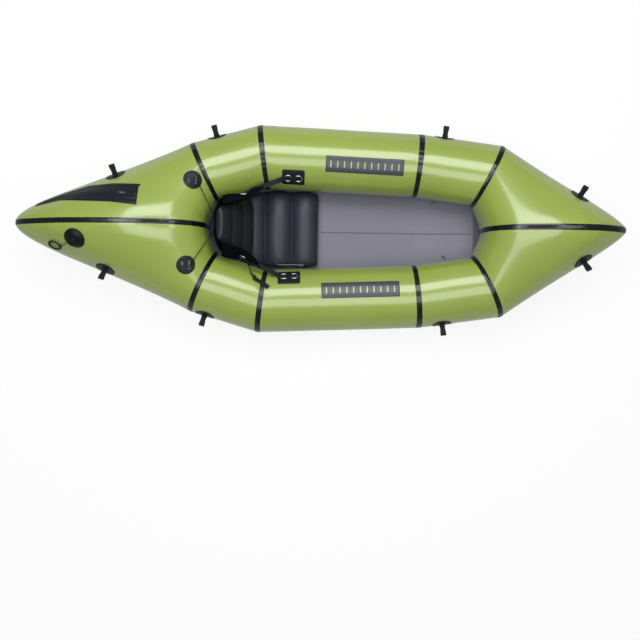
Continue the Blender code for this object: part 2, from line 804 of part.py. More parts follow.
def slotted_sheet():
    """Points and faces of the lash strip: a plate with a row of cross slots."""
    half = LASH_STRIP_LENGTH / 2
    first = -LASH_SLOT_PITCH * (LASH_SLOTS - 1) / 2
    stops = [-half]
    for k in range(LASH_SLOTS):
        middle = first + k * LASH_SLOT_PITCH
        stops += [middle - LASH_SLOT_WIDTH / 2, middle + LASH_SLOT_WIDTH / 2]
    stops.append(half)
    side, slot = LASH_STRIP_WIDTH / 2, LASH_SLOT_LENGTH / 2
    lines = [-side, -slot, 0.0, slot, side]
    flat = [(a, b) for a in stops for b in lines]
    faces = []
    columns = len(lines)
    for i in range(len(stops) - 1):
        for j in range(columns - 1):
            in_slot = i % 2 == 1 and 1 <= j <= columns - 3
            if in_slot:
                continue
            a, b = i * columns + j, (i + 1) * columns + j
            faces.append((a, b, b + 1))
            faces.append((a, b + 1, a + 1))
    return flat, faces


def grab_places():
    """Each grab patch's place along the raft, its side and its height."""
    places = {}
    for word, side in (("left", 1), ("right", -1)):
        stern_height = STERN_PATCH_HEIGHT_SHARE * STERN_DECK_HEIGHT
        bow_height = BOW_PATCH_HEIGHT_SHARE * BOW_DECK_HEIGHT
        aft_height = TUBE_AXIS_Z + AFT_PATCH_RISE
        fore_height = TUBE_AXIS_Z + FORE_PATCH_RISE
        stern_x = STERN_TIP_X + (AFT_THROAT_X - STERN_TIP_X) * STERN_PATCH_WAY_SHARES[word]
        places[f"stern_{word}"] = (stern_x, side, stern_height)
        places[f"aft_{word}"] = (AFT_RING_X + AFT_PATCH_SETBACKS[word], side, aft_height)
        places[f"fore_{word}"] = (FORE_RING_X - FORE_PATCH_SETBACKS[word], side, fore_height)
        places[f"bow_{word}"] = (BOW_TIP_X - BOW_PATCH_SETBACKS[word], side, bow_height)
    return places


def grab_seat(surface, place):
    """Where a grab patch lies: seen level from the raft's side."""
    x, side, z = place
    start = Vector((x, side * BOW_TIP_X, z))
    return Seat(surface, start, Vector((0, -side, 0)), Vector((1, 0, 0)))


def add_grab_points(surface, materials):
    """Eight round patches on the hull's sides, each with a webbing loop."""
    for word, place in grab_places().items():
        seat = grab_seat(surface, place)
        flat, faces = disc_sheet(GRAB_PATCH_DIAMETER / 2)
        laid_sheet(f"grab_patch_{word}", seat, flat, faces, PATCH_THICKNESS, materials["patch"])
        add_grab_loop(f"grab_loop_{word}", seat, materials["webbing"])


def add_grab_loop(name, seat, material):
    """A folded webbing loop that stands out from its patch and turns about its root."""
    standing = PATCH_LIFT + PATCH_THICKNESS + GAP
    root = seat.point + seat.out * standing
    axis_place = root + seat.out * GRAB_LOOP_ROOT
    far = GRAB_LOOP_LENGTH - WEBBING_THICKNESS
    near = 4 * WEBBING_THICKNESS
    outer, inner = [], []
    for k in range(DISC_SIDES):
        turn = 2 * math.pi * k / DISC_SIDES
        share = (1 - math.cos(turn)) / 2
        bulge = GRAB_LOOP_ROOT + (GRAB_LOOP_BULGE - GRAB_LOOP_ROOT) * share
        outer.append((GRAB_LOOP_LENGTH * share, math.sin(turn) * bulge))
        hollow = (GRAB_LOOP_BULGE - WEBBING_THICKNESS) * share
        inner.append((near + (far - near) * share, math.sin(turn) * hollow))
    points = []
    for half in (-WEBBING_WIDTH / 2, WEBBING_WIDTH / 2):
        for loop in (outer, inner):
            for a, h in loop:
                points.append(root + seat.out * a + seat.across * h + seat.along * half)
    n = DISC_SIDES
    faces = []
    for k in range(n):
        m = (k + 1) % n
        faces.append((k, m, n + m, n + k))
        faces.append((2 * n + k, 3 * n + k, 3 * n + m, 2 * n + m))
        faces.append((k, 2 * n + k, 2 * n + m, m))
        faces.append((n + k, n + m, 3 * n + m, 3 * n + k))
    return add_mesh(name, points, faces, material, axis_place)


def add_tie_patches(surface, materials):
    """Round deck patches, each with two low webbing bridges to tie to."""
    for word, (x, y) in TIE_PATCHES.items():
        seat = tie_seat(surface, x, y)
        flat, faces = disc_sheet(TIE_PATCH_DIAMETER / 2)
        patch = laid_sheet(f"tie_patch_{word}", seat, flat, faces, PATCH_THICKNESS, materials["patch"])
        for number, share in enumerate(HALF_SHARES):
            bridge = add_bridge(f"tie_bridge_{word}_{number}", seat, share * TIE_BAR_SPACING, materials)
            add_boolean(patch, bridge, "UNION")


def tie_seat(surface, x, y):
    """Where a tie-down patch lies: seen from above."""
    return Seat(surface, Vector((AFT_THROAT_X + x, y, SKY)), -UP, Vector((1, 0, 0)))


def add_bridge(name, seat, place, materials):
    """A low bridge of webbing whose feet are sewn into a patch."""
    half = TIE_BAR_SPAN / 2
    top = TIE_BAR_HEIGHT
    wall = WEBBING_THICKNESS
    base = seat.point + seat.out * (PATCH_LIFT + PATCH_THICKNESS + seat.level(place, 0)) + seat.along * place
    foot = seat.level(place, half) - seat.level(place, 0) - PATCH_THICKNESS * BRIDGE_SINK_SHARE
    profile = (
        (-half, foot), (-half + wall, foot), (-half + 2 * wall, top - wall), (half - 2 * wall, top - wall),
        (half - wall, foot), (half, foot), (half - wall, top), (-half + wall, top),
    )
    axes = (seat.across, seat.along, seat.out)
    return extruded(name, profile, base, axes, TIE_BAR_WIDTH, materials["webbing"])


def tube_seat(surface, zones, side, x, angle_from_top):
    """A place on the straight mid tube, turned from its top towards the cockpit."""
    zone = zones["mid_tube"]
    run = zone.last.centre - zone.first.centre
    centre = side_of(zone.first.centre + run * ((x - zone.first.centre.x) / run.x), side)
    along = side_of(run.normalized(), side)
    out = UP * math.cos(angle_from_top) - Vector((0, side, 0)) * math.sin(angle_from_top)
    out = (out - along * out.dot(along)).normalized()
    return Seat(surface, centre + out * TUBE_DIAMETER, -out, along)


def ring_seat(surface, zones, word):
    """Where a ring patch lies on its tube."""
    side = 1 if word == "left" else -1
    return tube_seat(surface, zones, side, RING_PATCH_X[word], RING_PATCH_ANGLE)


def ring_bar_height():
    """Height of the wire rings' straight bars over their seat's point."""
    eye = D_RING_WIRE / 2 + TAB_CLEARANCE
    return PATCH_LIFT + PATCH_THICKNESS + GAP + eye


def add_ring_patches(surface, zones, materials):
    """Square patches with a webbing tab that holds two wire rings."""
    eye = D_RING_WIRE / 2 + TAB_CLEARANCE
    for word in ("left", "right"):
        seat = ring_seat(surface, zones, word)
        flat, faces = plate_sheet(RING_PATCH_LENGTH, RING_PATCH_WIDTH, RING_PATCH_CORNER, 4)
        patch = laid_sheet(f"ring_patch_{word}", seat, flat, faces, PATCH_THICKNESS, materials["patch"])
        height = ring_bar_height()
        half = D_RING_SPACING / 2
        profile = []
        for k in range(DISC_SIDES):
            turn = 2 * math.pi * (k + 0.5) / DISC_SIDES
            middle = half if math.cos(turn) > 0 else -half
            reach = eye + TAB_WALL
            profile.append((middle + reach * math.cos(turn), reach * math.sin(turn)))
        base = seat.point + seat.out * height
        axes = (seat.along, seat.across, seat.out)
        tab = extruded(f"ring_tab_{word}", profile, base, axes, TAB_WIDTH, materials["webbing"])
        add_boolean(patch, tab, "UNION")
        for number, sense in enumerate((-1, 1)):
            bar = base + seat.along * (sense * half)
            ends = [bar - seat.across * TAB_WIDTH, bar + seat.across * TAB_WIDTH]
            cutter = tube(f"ring_eye_{word}_{number}", ends, eye, DISC_SIDES, materials["webbing"])
            add_boolean(patch, cutter, "DIFFERENCE")
        for place, sense in (("aft", -1), ("fore", 1)):
            add_d_ring(f"d_ring_{place}_{word}", seat, base, sense, materials["steel"])


def add_d_ring(name, seat, base, sense, material):
    """A wire ring with one straight side in the tab's eye."""
    radius = (D_RING_WIDTH - D_RING_WIRE) / 2
    bar = base + seat.along * (sense * D_RING_SPACING / 2)
    straight = D_RING_BOW - radius
    path = [bar + seat.across * (radius * s) for s in D_RING_BAR_SHARES]
    for k in range(1, DISC_SIDES):
        turn = math.pi * k / DISC_SIDES
        out = straight + radius * math.sin(turn)
        path.append(bar + seat.along * (sense * out) + seat.across * (radius * math.cos(turn)))
    return wire_loop(name, path, D_RING_WIRE / 2, WIRE_SIDES, material, bar)


def add_lash_strips(surface, zones, materials):
    """The slotted strips along the tops of the mid tubes."""
    flat, faces = slotted_sheet()
    for word, side in (("left", 1), ("right", -1)):
        seat = tube_seat(surface, zones, side, LASH_STRIP_X[word], LASH_STRIP_ANGLE)
        laid_sheet(f"lash_strip_{word}", seat, flat, faces, LASH_STRIP_THICKNESS, materials["strip"])


def add_valve(surface, panels, materials):
    """Inflation valve: body through the hull, one-way plunger, screw cap and tether ring."""
    seat = Seat(surface, Vector((STERN_TIP_X + VALVE_SETBACK, VALVE_Y, SKY)), -UP, Vector((-1, 0, 0)))
    sleeve = VALVE_NECK_DIAMETER / 2
    hole_ends = [seat.point + seat.out * (s * VALVE_NECK_HEIGHT) for s in (-1, 1)]
    hole = tube("valve_hole", hole_ends, sleeve + GAP, VALVE_SIDES, materials["rubber"])
    add_boolean(panels["stern_cone_right"], hole, "DIFFERENCE")
    add_valve_body(seat, materials)
    add_plunger(seat, materials)
    add_valve_cap(seat, materials)
    add_tether(surface, seat, materials)


def add_valve_body(seat, materials):
    """A flange that follows the hull, with a neck outside and a sleeve with a seat inside."""
    flange = VALVE_FLANGE_DIAMETER / 2
    neck = VALVE_NECK_DIAMETER / 2
    bore = VALVE_BORE_DIAMETER / 2
    mouth = VALVE_SEAT_DIAMETER / 2
    under = -VALVE_SEAT_DEPTH - VALVE_SEAT_THICKNESS
    shoulder = VALVE_SHOULDER_HEIGHT
    half_way = (flange + neck) / 2
    profile = (
        (neck + 2 * GAP, PATCH_LIFT, 1), (half_way, PATCH_LIFT, 1), (flange, PATCH_LIFT, 1),
        (flange, PATCH_LIFT + VALVE_FLANGE_EDGE, 1), (half_way, shoulder * VALVE_SLOPE_SHARE, 1),
        (neck + VALVE_FLANGE_EDGE, shoulder, 0), (neck, shoulder, 0), (neck, VALVE_NECK_HEIGHT, 0),
        (bore, VALVE_NECK_HEIGHT, 0), (bore, -VALVE_SEAT_DEPTH, 0), (mouth, -VALVE_SEAT_DEPTH, 0),
        (mouth, under, 0), (bore, under, 0), (bore, -VALVE_SLEEVE_DEPTH, 0), (neck, -VALVE_SLEEVE_DEPTH, 0),
        (neck, 0.0, 0),
    )
    points = []
    for radius, height, follow in profile:
        for k in range(VALVE_SIDES):
            turn = 2 * math.pi * k / VALVE_SIDES
            a, b = radius * math.cos(turn), radius * math.sin(turn)
            drop = seat.level(a, b) * follow
            points.append(seat.point + seat.along * a + seat.across * b + seat.out * (height + drop))
    faces = grid_faces(len(profile), VALVE_SIDES, closed=True, row_closed=True)
    return add_mesh("valve_body", points, faces, materials["rubber"])


def add_plunger(seat, materials):
    """The one-way disc that seals against the seat from inside, with its stem."""
    disc = (VALVE_SEAT_DIAMETER + VALVE_BORE_DIAMETER) / 4
    top = -VALVE_SEAT_DEPTH - VALVE_SEAT_THICKNESS - GAP
    stem = PLUNGER_STEM_DIAMETER / 2
    profile = (
        (0, top - PLUNGER_THICKNESS), (disc, top - PLUNGER_THICKNESS), (disc, top), (stem, top),
        (stem, top + PLUNGER_STEM_HEIGHT), (0, top + PLUNGER_STEM_HEIGHT),
    )
    base = seat.point.copy()
    return turned(profile, base, seat.out, VALVE_SIDES, "valve_plunger", materials["plastic"], base)


def add_valve_cap(seat, materials):
    """A screw cap over the neck, with a raised grip and a small eye on top."""
    top = VALVE_NECK_HEIGHT + GAP
    inside = VALVE_NECK_DIAMETER / 2 + GAP
    outside = CAP_DIAMETER / 2
    grip = CAP_GRIP_DIAMETER / 2
    peak = top + CAP_WALL + CAP_GRIP_HEIGHT
    profile = (
        (0, top), (inside, top), (inside, top - CAP_SKIRT), (outside, top - CAP_SKIRT),
        (outside, top + CAP_WALL), (grip, top + CAP_WALL), (grip * CAP_GRIP_TOP_SHARE, peak), (0, peak),
    )
    base = seat.point.copy()
    cap = turned(profile, base, seat.out, VALVE_SIDES, "valve_cap", materials["rubber"], base)
    middle = base + seat.out * (peak + CAP_EYE_DIAMETER / 2 - CAP_EYE_WIRE)
    radius = (CAP_EYE_DIAMETER - CAP_EYE_WIRE) / 2
    path = []
    for k in range(DISC_SIDES):
        turn = 2 * math.pi * k / DISC_SIDES
        path.append(middle + (seat.along * math.cos(turn) + seat.out * math.sin(turn)) * radius)
    eye = wire_loop("valve_cap_eye", path, CAP_EYE_WIRE / 2, WIRE_SIDES, materials["rubber"])
    add_boolean(cap, eye, "UNION")


def add_tether(surface, valve, materials):
    """The oval ring that lies on the stern, with its short cord to the valve's neck."""
    start = Vector((STERN_TIP_X + TETHER_RING_SETBACK, TETHER_RING_Y, SKY))
    seat = Seat(surface, start, -UP, valve.point - Vector((start.x, start.y, valve.point.z)))
    long, wide = (TETHER_RING_LENGTH - TETHER_WIRE) / 2, (TETHER_RING_WIDTH - TETHER_WIRE) / 2
    spots = []
    for k in range(2 * DISC_SIDES):
        turn = 2 * math.pi * k / (2 * DISC_SIDES)
        spots.append((long * math.cos(turn), wide * math.sin(turn)))
    rest = max(seat.level(a, b) for a, b in spots) + TETHER_WIRE / 2 + PATCH_STEP ** 2 / (4 * TUBE_RADIUS)
    path = [seat.point + seat.along * a + seat.across * b + seat.out * rest for a, b in spots]
    neck = (VALVE_NECK_DIAMETER + TETHER_KNOT_DIAMETER) / 2 + GAP
    anchor = valve.point + valve.out * (VALVE_SHOULDER_HEIGHT + TETHER_CORD * TETHER_ANCHOR_SHARE)
    away = seat.point - anchor
    away = (away - valve.out * away.dot(valve.out)).normalized()
    joint = anchor + away * neck
    cord = []
    for k in range(TETHER_STEPS + 1):
        share = k / TETHER_STEPS
        cord.append(path[0].lerp(joint, share) + seat.out * (TETHER_CORD * math.sin(math.pi * share)))
    ring = wire_loop("tether_ring", path, TETHER_WIRE / 2, WIRE_SIDES, materials["rubber"], joint)
    leash = tube("tether_cord", cord, TETHER_CORD / 2, WIRE_SIDES, materials["rubber"])
    add_boolean(ring, leash, "UNION")
    knot = ball("tether_knot", joint, TETHER_KNOT_DIAMETER / 2, DISC_SIDES, materials["rubber"])
    add_boolean(ring, knot, "UNION")


def zipper_place(share):
    """A place along the zipper: where it is in plan and how wide it is to each side."""
    def read(shares):
        spot = share * (len(shares) - 1)
        base = min(int(spot), len(shares) - 2)
        t = spot - base
        return shares[base] * (1 - t) + shares[base + 1] * t
    way = ZIPPER_AFT_SHARE + (ZIPPER_FORE_SHARE - ZIPPER_AFT_SHARE) * share
    x = STERN_TIP_X + (AFT_THROAT_X - STERN_TIP_X) * way
    return x, ZIPPER_OFFSET * read(ZIPPER_OFFSET_SHARES), ZIPPER_HALF_WIDTH * read(ZIPPER_WIDTH_SHARES)


def add_zipper(surface, materials):
    """The waterproof zipper's panel and coil, and its slider with a pull."""
    coil = ZIPPER_COIL_WIDTH / 2
    outer, inner = [], []
    for k in range(ZIPPER_STEPS + 1):
        x, y, half = zipper_place(k / ZIPPER_STEPS)
        ridge = min(coil, half * ZIPPER_RIDGE_SHARE)
        crest = ridge * ZIPPER_CREST_SHARE
        slope = (half + ridge) / 2
        for column, b in enumerate((half, slope, ridge, crest, -crest, -ridge, -slope, -half)):
            seat = Seat(surface, Vector((x, y + b, SKY)), -UP, Vector((1, 0, 0)))
            height = ZIPPER_COIL_HEIGHT if column in (3, 4) else 0.0
            inner.append(seat.point + seat.out * PATCH_LIFT)
            outer.append(seat.point + seat.out * (PATCH_LIFT + ZIPPER_PANEL_THICKNESS + height))
    faces = grid_faces(ZIPPER_STEPS + 1, 8)
    two_skin_solid("zipper_panel", outer, inner, faces, materials["zipper"])
    add_slider(surface, materials)


def add_slider(surface, materials):
    """The slider straddles the coil and carries a pull that lies aft over the panel."""
    x, y, _ = zipper_place(SLIDER_PLACE_SHARE)
    ahead_x, ahead_y, _ = zipper_place(SLIDER_PLACE_SHARE - 1 / ZIPPER_STEPS)
    middle = Seat(surface, Vector((x, y, SKY)), -UP, Vector((1, 0, 0)))
    other = Seat(surface, Vector((ahead_x, ahead_y, SKY)), -UP, Vector((1, 0, 0)))
    along = (other.point - middle.point).normalized()
    across = middle.out.cross(along).normalized()
    out = along.cross(across)
    panel = PATCH_LIFT + ZIPPER_PANEL_THICKNESS
    base = middle.point + out * panel
    slot = ZIPPER_COIL_WIDTH / 2 + SLIDER_CLEARANCE
    roof = ZIPPER_COIL_HEIGHT + SLIDER_CLEARANCE
    half = SLIDER_WIDTH / 2
    ridge = half * SLIDER_TOP_SHARE
    foot = SLIDER_CLEARANCE
    top = roof + SLIDER_PLATE
    profile = (
        (-half, foot), (-slot, foot), (-slot, roof), (slot, roof),
        (slot, foot), (half, foot), (half, top - SLIDER_PLATE / 2), (ridge, top),
        (-ridge, top), (-half, top - SLIDER_PLATE / 2),
    )
    axes = (across, along, out)
    slider = extruded("zipper_slider", profile, base, axes, SLIDER_LENGTH, materials["zipper"], base)
    pull_rise = top + SLIDER_PLATE * PULL_RISE_SHARE
    pull_middle = base + out * pull_rise - along * (SLIDER_PULL_LENGTH / 2)
    size = (SLIDER_PULL_LENGTH, SLIDER_PULL_WIDTH, SLIDER_PLATE)
    pull = block("zipper_pull", pull_middle, (along, across, out), size, materials["zipper"])
    add_boolean(slider, pull, "UNION")


def floor_top(zones, x):
    """Height of the floor's upper skin in the middle of the cockpit."""
    rows = []
    for name in ("aft_shoulder", "mid_tube", "fore_shoulder"):
        zone = zones[name]
        rows += [zone.point(FLOOR_INNER_ANGLE, place, FLOOR_LIFT) for place in (0.0, zone.length)]
    rows.sort(key=lambda p: p.x)
    for a, b in zip(rows, rows[1:]):
        if a.x <= x <= b.x and b.x > a.x:
            return a.z + (b.z - a.z) * (x - a.x) / (b.x - a.x)
    return rows[0].z


def cushion_points(length, width, height, channels, place, width_share, sides=CUSHION_SIDES):
    """A crowned pad with cross channels. Each point is placed by (along, across, up)."""
    stations = channels * CHANNEL_STEPS
    points = []
    for i in range(stations + 1):
        share = i / stations
        swell = abs(math.sin(math.pi * channels * share)) ** PAD_SWELL_POWER
        low = GROOVE_SHARE
        if i in (0, stations):
            low = PAD_END_SHARE
        thick = height * (low + (1 - low) * swell)
        side_pull = 1 - PAD_SIDE_PULL_SHARE * (1 - swell)
        end_pull = PAD_END_PULL_SHARE * (abs(2 * share - 1) ** 6)
        half = width / 2 * (side_pull - end_pull) * width_share(share)
        for k in range(sides):
            turn = 2 * math.pi * (k + 0.5) / sides
            c, s = math.cos(turn), math.sin(turn)
            across = half * math.copysign(abs(c) ** PAD_ACROSS_POWER, c)
            crown = 1 - PAD_CROWN_SHARE * (across / half) ** 2
            up = thick / 2 * math.copysign(abs(s) ** PAD_UP_POWER, s)
            points.append(place(length * share, across, up * crown, thick))
    return points, stations + 1


def cushion(name, grid, rows, material, origin=None):
    """Close a pad's rings with flat ends."""
    sides = len(grid) // rows
    faces = grid_faces(rows, sides, closed=True)
    last = len(grid) - sides
    faces.append(tuple(range(sides)))
    faces.append(tuple(range(last, last + sides)))
    return add_mesh(name, grid, faces, material, origin)


def add_seat(zones, materials):
    """The seat base on the floor, with its inflation tube, and the hinged backrest."""
    def on_floor(along, across, up, thick):
        x = SEAT_REAR_X + along
        rest = floor_top(zones, x) + GAP
        return Vector((x, across, rest + thick / 2 + up))

    def seat_width_share(share):
        return min(1.0, SEAT_REAR_WIDTH_SHARE + (1 - SEAT_REAR_WIDTH_SHARE) * share / SEAT_FULL_WIDTH_SHARE)

    def back_width_share(share):
        return 1 - (1 - BACKREST_TOP_WIDTH_SHARE) * share

    length = SEAT_FRONT_X - SEAT_REAR_X
    grid, rows = cushion_points(
        length, SEAT_WIDTH, SEAT_HEIGHT, SEAT_CHANNELS, on_floor, seat_width_share)
    base = cushion("seat_base", grid, rows, materials["seat"])
    add_seat_tube(zones, base, materials)

    up_way = Vector((-math.sin(BACKREST_LEAN), 0, math.cos(BACKREST_LEAN)))
    back_way = Vector((-math.cos(BACKREST_LEAN), 0, -math.sin(BACKREST_LEAN)))
    axis = Vector((BACKREST_AXIS_X, 0, BACKREST_AXIS_Z))
    start = axis + up_way * BACKREST_START + back_way * (BACKREST_THICKNESS / 2)

    def on_back(along, across, up, thick):
        return start + up_way * along + Vector((0, across, 0)) + back_way * up

    grid, rows = cushion_points(
        BACKREST_LENGTH - BACKREST_START, BACKREST_WIDTH, BACKREST_THICKNESS,
        BACKREST_CHANNELS, on_back, back_width_share)
    backrest = cushion("backrest", grid, rows, materials["seat"], axis)
    return axis, up_way, back_way, backrest


def add_seat_tube(zones, base, materials):
    """The oral inflation tube that lies along the seat's right edge."""
    y = -SEAT_WIDTH / 2 * SEAT_TUBE_SIDE_SHARE
    z = floor_top(zones, SEAT_TUBE_X) + SEAT_HEIGHT * SEAT_TUBE_HEIGHT_SHARE
    root = Vector((SEAT_TUBE_X, y + SEAT_TUBE_DIAMETER * 2, z - SEAT_TUBE_DIAMETER * 2))
    lift = SEAT_TUBE_DIAMETER
    path = [root, Vector((SEAT_TUBE_X, y + SEAT_TUBE_DIAMETER, z))]
    for k in range(5):
        x = SEAT_TUBE_X + SEAT_TUBE_DIAMETER + (SEAT_TUBE_LENGTH - SEAT_TUBE_DIAMETER) * k / 4
        path.append(Vector((x, y, z + lift)))
    stem = tube("seat_tube", path, SEAT_TUBE_DIAMETER / 2, WIRE_SIDES, materials["grey"])
    add_boolean(base, stem, "UNION")
    end = path[-1]
    mouth_end = end + Vector((SEAT_MOUTHPIECE_LENGTH / 2, 0, 0))
    mouth_start = end - Vector((SEAT_MOUTHPIECE_LENGTH / 2, 0, 0))
    radius = SEAT_MOUTHPIECE_DIAMETER / 2
    mouth = tube("seat_mouthpiece", [mouth_start, mouth_end], radius, WIRE_SIDES, materials["grey"])
    add_boolean(base, mouth, "UNION")


def wing_place(side, shares):
    """A point of a backrest wing."""
    back, across, up = shares
    x = BACKREST_AXIS_X - WING_REACH * back
    return Vector((x, side * BACKREST_WIDTH / 2 * across, BACKREST_AXIS_Z + BACKREST_LENGTH * up))


def add_back_support(surface, zones, back, materials):
    """Wings with ladder-locks on them, straps on to the aft rings and the rear cord."""
    backrest = back[-1]
    for word, side in (("left", 1), ("right", -1)):
        rim = [wing_place(side, shares) for shares in WING_RIM_SHARES]
        foot = [wing_place(side, shares) for shares in WING_FOOT_SHARES]
        seat = ring_seat(surface, zones, word)
        bar = seat.point + seat.out * ring_bar_height() - seat.along * (D_RING_SPACING / 2)
        over_wire = (D_RING_WIRE + STRAP_THICKNESS) / 2 + GAP
        target = bar - seat.along * (D_RING_BOW - D_RING_WIRE) + seat.out * over_wire
        station = len(rim) // 2
        spot = rim[station].lerp(foot[station], LOCK_DOWN_SHARE)
        fall = foot[station] - rim[station]
        out = (target - spot).cross(fall).normalized() * side
        lock = spot - out * ((WING_THICKNESS + LADDER_LOCK_THICKNESS) / 2 + GAP)
        along = (target - lock).normalized()
        across = out.cross(along).normalized()
        out = along.cross(across).normalized()
        add_ladder_lock(f"ladder_lock_{word}", lock, (along, across, out), materials)
        middle = lock - along * ((LADDER_LOCK_LENGTH + LOCK_TAB_LENGTH) / 2 + GAP)
        size = (LOCK_TAB_LENGTH, STRAP_WIDTH, STRAP_THICKNESS)
        tab = block(f"lock_tab_{word}", middle, (along, across, out), size, materials["webbing"])
        add_boolean(backrest, tab, "UNION")
        start = lock + along * (LADDER_LOCK_LENGTH / 2 + GAP)
        strap, edges = add_strap(f"backrest_strap_{word}", start, target, across, seat, materials)
        wing = add_wing(f"backrest_wing_{word}", rim, foot, edges, side, materials)
        add_boolean(strap, wing, "UNION")
    add_back_cord(surface, back, materials)


def add_wing(name, rim, foot, edges, side, materials):
    """A fabric wing between its rim and its foot, which narrows to the strap's edges."""
    upper, lower = sorted(edges, key=lambda place: -place.z)
    tops = rim + [upper]
    feet = foot + [lower]
    outer, inner = [], []
    for i, (top, low) in enumerate(zip(tops, feet)):
        ahead = min(i + 1, len(tops) - 1)
        behind = max(i - 1, 0)
        run = (tops[ahead] + feet[ahead] - tops[behind] - feet[behind])
        out = run.cross(low - top).normalized() * side
        for k in range(WING_DOWN_STEPS + 1):
            place = top.lerp(low, k / WING_DOWN_STEPS)
            outer.append(place + out * (WING_THICKNESS / 2))
            inner.append(place - out * (WING_THICKNESS / 2))
    faces = grid_faces(len(tops), WING_DOWN_STEPS + 1)
    return two_skin_solid(name, outer, inner, faces, materials["webbing"])


def add_ladder_lock(name, centre, axes, materials):
    """A strap adjuster: a frame with three cross bars."""
    size = (LADDER_LOCK_LENGTH, LADDER_LOCK_WIDTH, LADDER_LOCK_THICKNESS)
    lock = block(name, centre, axes, size, materials["steel"])
    window = (LADDER_LOCK_LENGTH - 3 * LADDER_BAR) / 2
    for number, sense in enumerate((-1, 1)):
        middle = centre + axes[0] * (sense * (window + LADDER_BAR) / 2)
        hole = (window, LADDER_LOCK_WIDTH - 2 * LADDER_BAR, 3 * LADDER_LOCK_THICKNESS)
        cutter = block(f"{name}_window_{number}", middle, axes, hole, materials["steel"])
        add_boolean(lock, cutter, "DIFFERENCE")


def add_strap(name, start, end, across, seat, materials):
    """A flat strap from the ladder-lock to the ring patch, level with the ring there.

    Its edges at the wing's tip are given with it.
    """
    steps = 8
    outer, inner = [], []
    finish_across = seat.across if seat.across.dot(across) > 0 else -seat.across
    along = (end - start).normalized()

    def edge(share, s):
        side = across.lerp(finish_across, share).normalized()
        return start.lerp(end, share) + side * (s * STRAP_WIDTH), along.cross(side).normalized()

    for k in range(steps + 1):
        for s in HALF_SHARES:
            place, normal = edge(k / steps, s)
            outer.append(place + normal * (STRAP_THICKNESS / 2))
            inner.append(place - normal * (STRAP_THICKNESS / 2))
    strap = two_skin_solid(name, outer, inner, grid_faces(steps + 1, 2), materials["webbing"])
    return strap, [edge(WING_TIP_SHARE, s)[0] for s in WING_TIP_EDGE_SHARES]


def add_back_cord(surface, back, materials):
    """One thin cord from bridge to bridge, round the back of the backrest."""
    axis, up_way, back_way, _ = back
    rear = axis + up_way * BACK_LOOP_REACH + back_way * (BACKREST_THICKNESS + BACK_CORD_DIAMETER)
    ends = []
    for x, y in TIE_PATCHES.values():
        seat = tie_seat(surface, x, y)
        rise = PATCH_LIFT + PATCH_THICKNESS + TIE_BAR_HEIGHT + 2 * GAP + BACK_CORD_DIAMETER
        ends.append(seat.point + seat.along * (TIE_BAR_SPACING / 2) + seat.out * rise)
    path = []
    steps = 12
    for k in range(steps + 1):
        share = k / steps
        inward = (ends[0].lerp(rear, share * 2) if share < 0.5 else rear.lerp(ends[1], share * 2 - 1))
        path.append(inward)
    return tube("back_cord", path, BACK_CORD_DIAMETER / 2, WIRE_SIDES, materials["cord"])


def main():
    clear_scene()
    materials = {
        "hull": make_material("green_hull_fabric", (0.36, 0.47, 0.12), 0.42),
        "tape": make_material("black_seam_tape", (0.012, 0.012, 0.016), 0.35),
        "floor": make_material("grey_floor_fabric", (0.12, 0.12, 0.14), 0.45),
        "patch": make_material("black_patch", (0.012, 0.012, 0.018), 0.5),
        "webbing": make_material("black_webbing", (0.01, 0.01, 0.012), 0.75),
        "strip": make_material("dark_strip", (0.035, 0.035, 0.055), 0.5),
        "steel": make_material("bright_steel", (0.72, 0.72, 0.74), 0.25, 1.0),
        "rubber": make_material("black_rubber", (0.012, 0.012, 0.014), 0.55),
        "plastic": make_material("black_plastic", (0.02, 0.02, 0.02), 0.4),
        "zipper": make_material("zipper_tape", (0.018, 0.018, 0.022), 0.4),
        "seat": make_material("charcoal_seat_fabric", (0.022, 0.022, 0.028), 0.55),
        "grey": make_material("grey_tube", (0.25, 0.26, 0.28), 0.4),
        "cord": make_material("black_cord", (0.01, 0.01, 0.01), 0.8),
    }
    zones = make_zones()
    surface = Surface(zones)
    panels = add_hull(zones, materials)
    add_tapes(zones, materials)
    add_floor(zones, materials)
    add_grab_points(surface, materials)
    add_tie_patches(surface, materials)
    add_ring_patches(surface, zones, materials)
    add_lash_strips(surface, zones, materials)
    add_valve(surface, panels, materials)
    add_zipper(surface, materials)
    back = add_seat(zones, materials)
    add_back_support(surface, zones, back, materials)


if __name__ == "__main__":
    main()
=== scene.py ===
"""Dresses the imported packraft: smooth seamed hull, tapes, fittings, cushions and a plain stage."""
import json
import math
from functools import lru_cache

import bmesh
import bpy
import numpy as np
from bpy.props import FloatProperty, PointerProperty
from mathutils import Matrix, Vector, noise
from mathutils.bvhtree import BVHTree


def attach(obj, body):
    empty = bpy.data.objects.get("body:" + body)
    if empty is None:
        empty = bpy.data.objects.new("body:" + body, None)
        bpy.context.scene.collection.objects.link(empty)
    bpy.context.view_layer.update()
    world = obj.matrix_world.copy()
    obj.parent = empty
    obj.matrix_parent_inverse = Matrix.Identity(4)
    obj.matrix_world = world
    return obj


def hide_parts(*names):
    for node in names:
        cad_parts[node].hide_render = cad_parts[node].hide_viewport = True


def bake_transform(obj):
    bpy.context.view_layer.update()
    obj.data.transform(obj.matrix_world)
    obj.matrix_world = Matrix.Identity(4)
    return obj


bl_info = {
    "name": "Packraft dressing",
    "version": (1, 0, 0),
    "blender": (4, 5, 0),
    "location": "3D View > Sidebar > Packraft",
    "description": "Builds the visible pieces of an inflatable packraft over its packed model",
    "category": "Object",
}

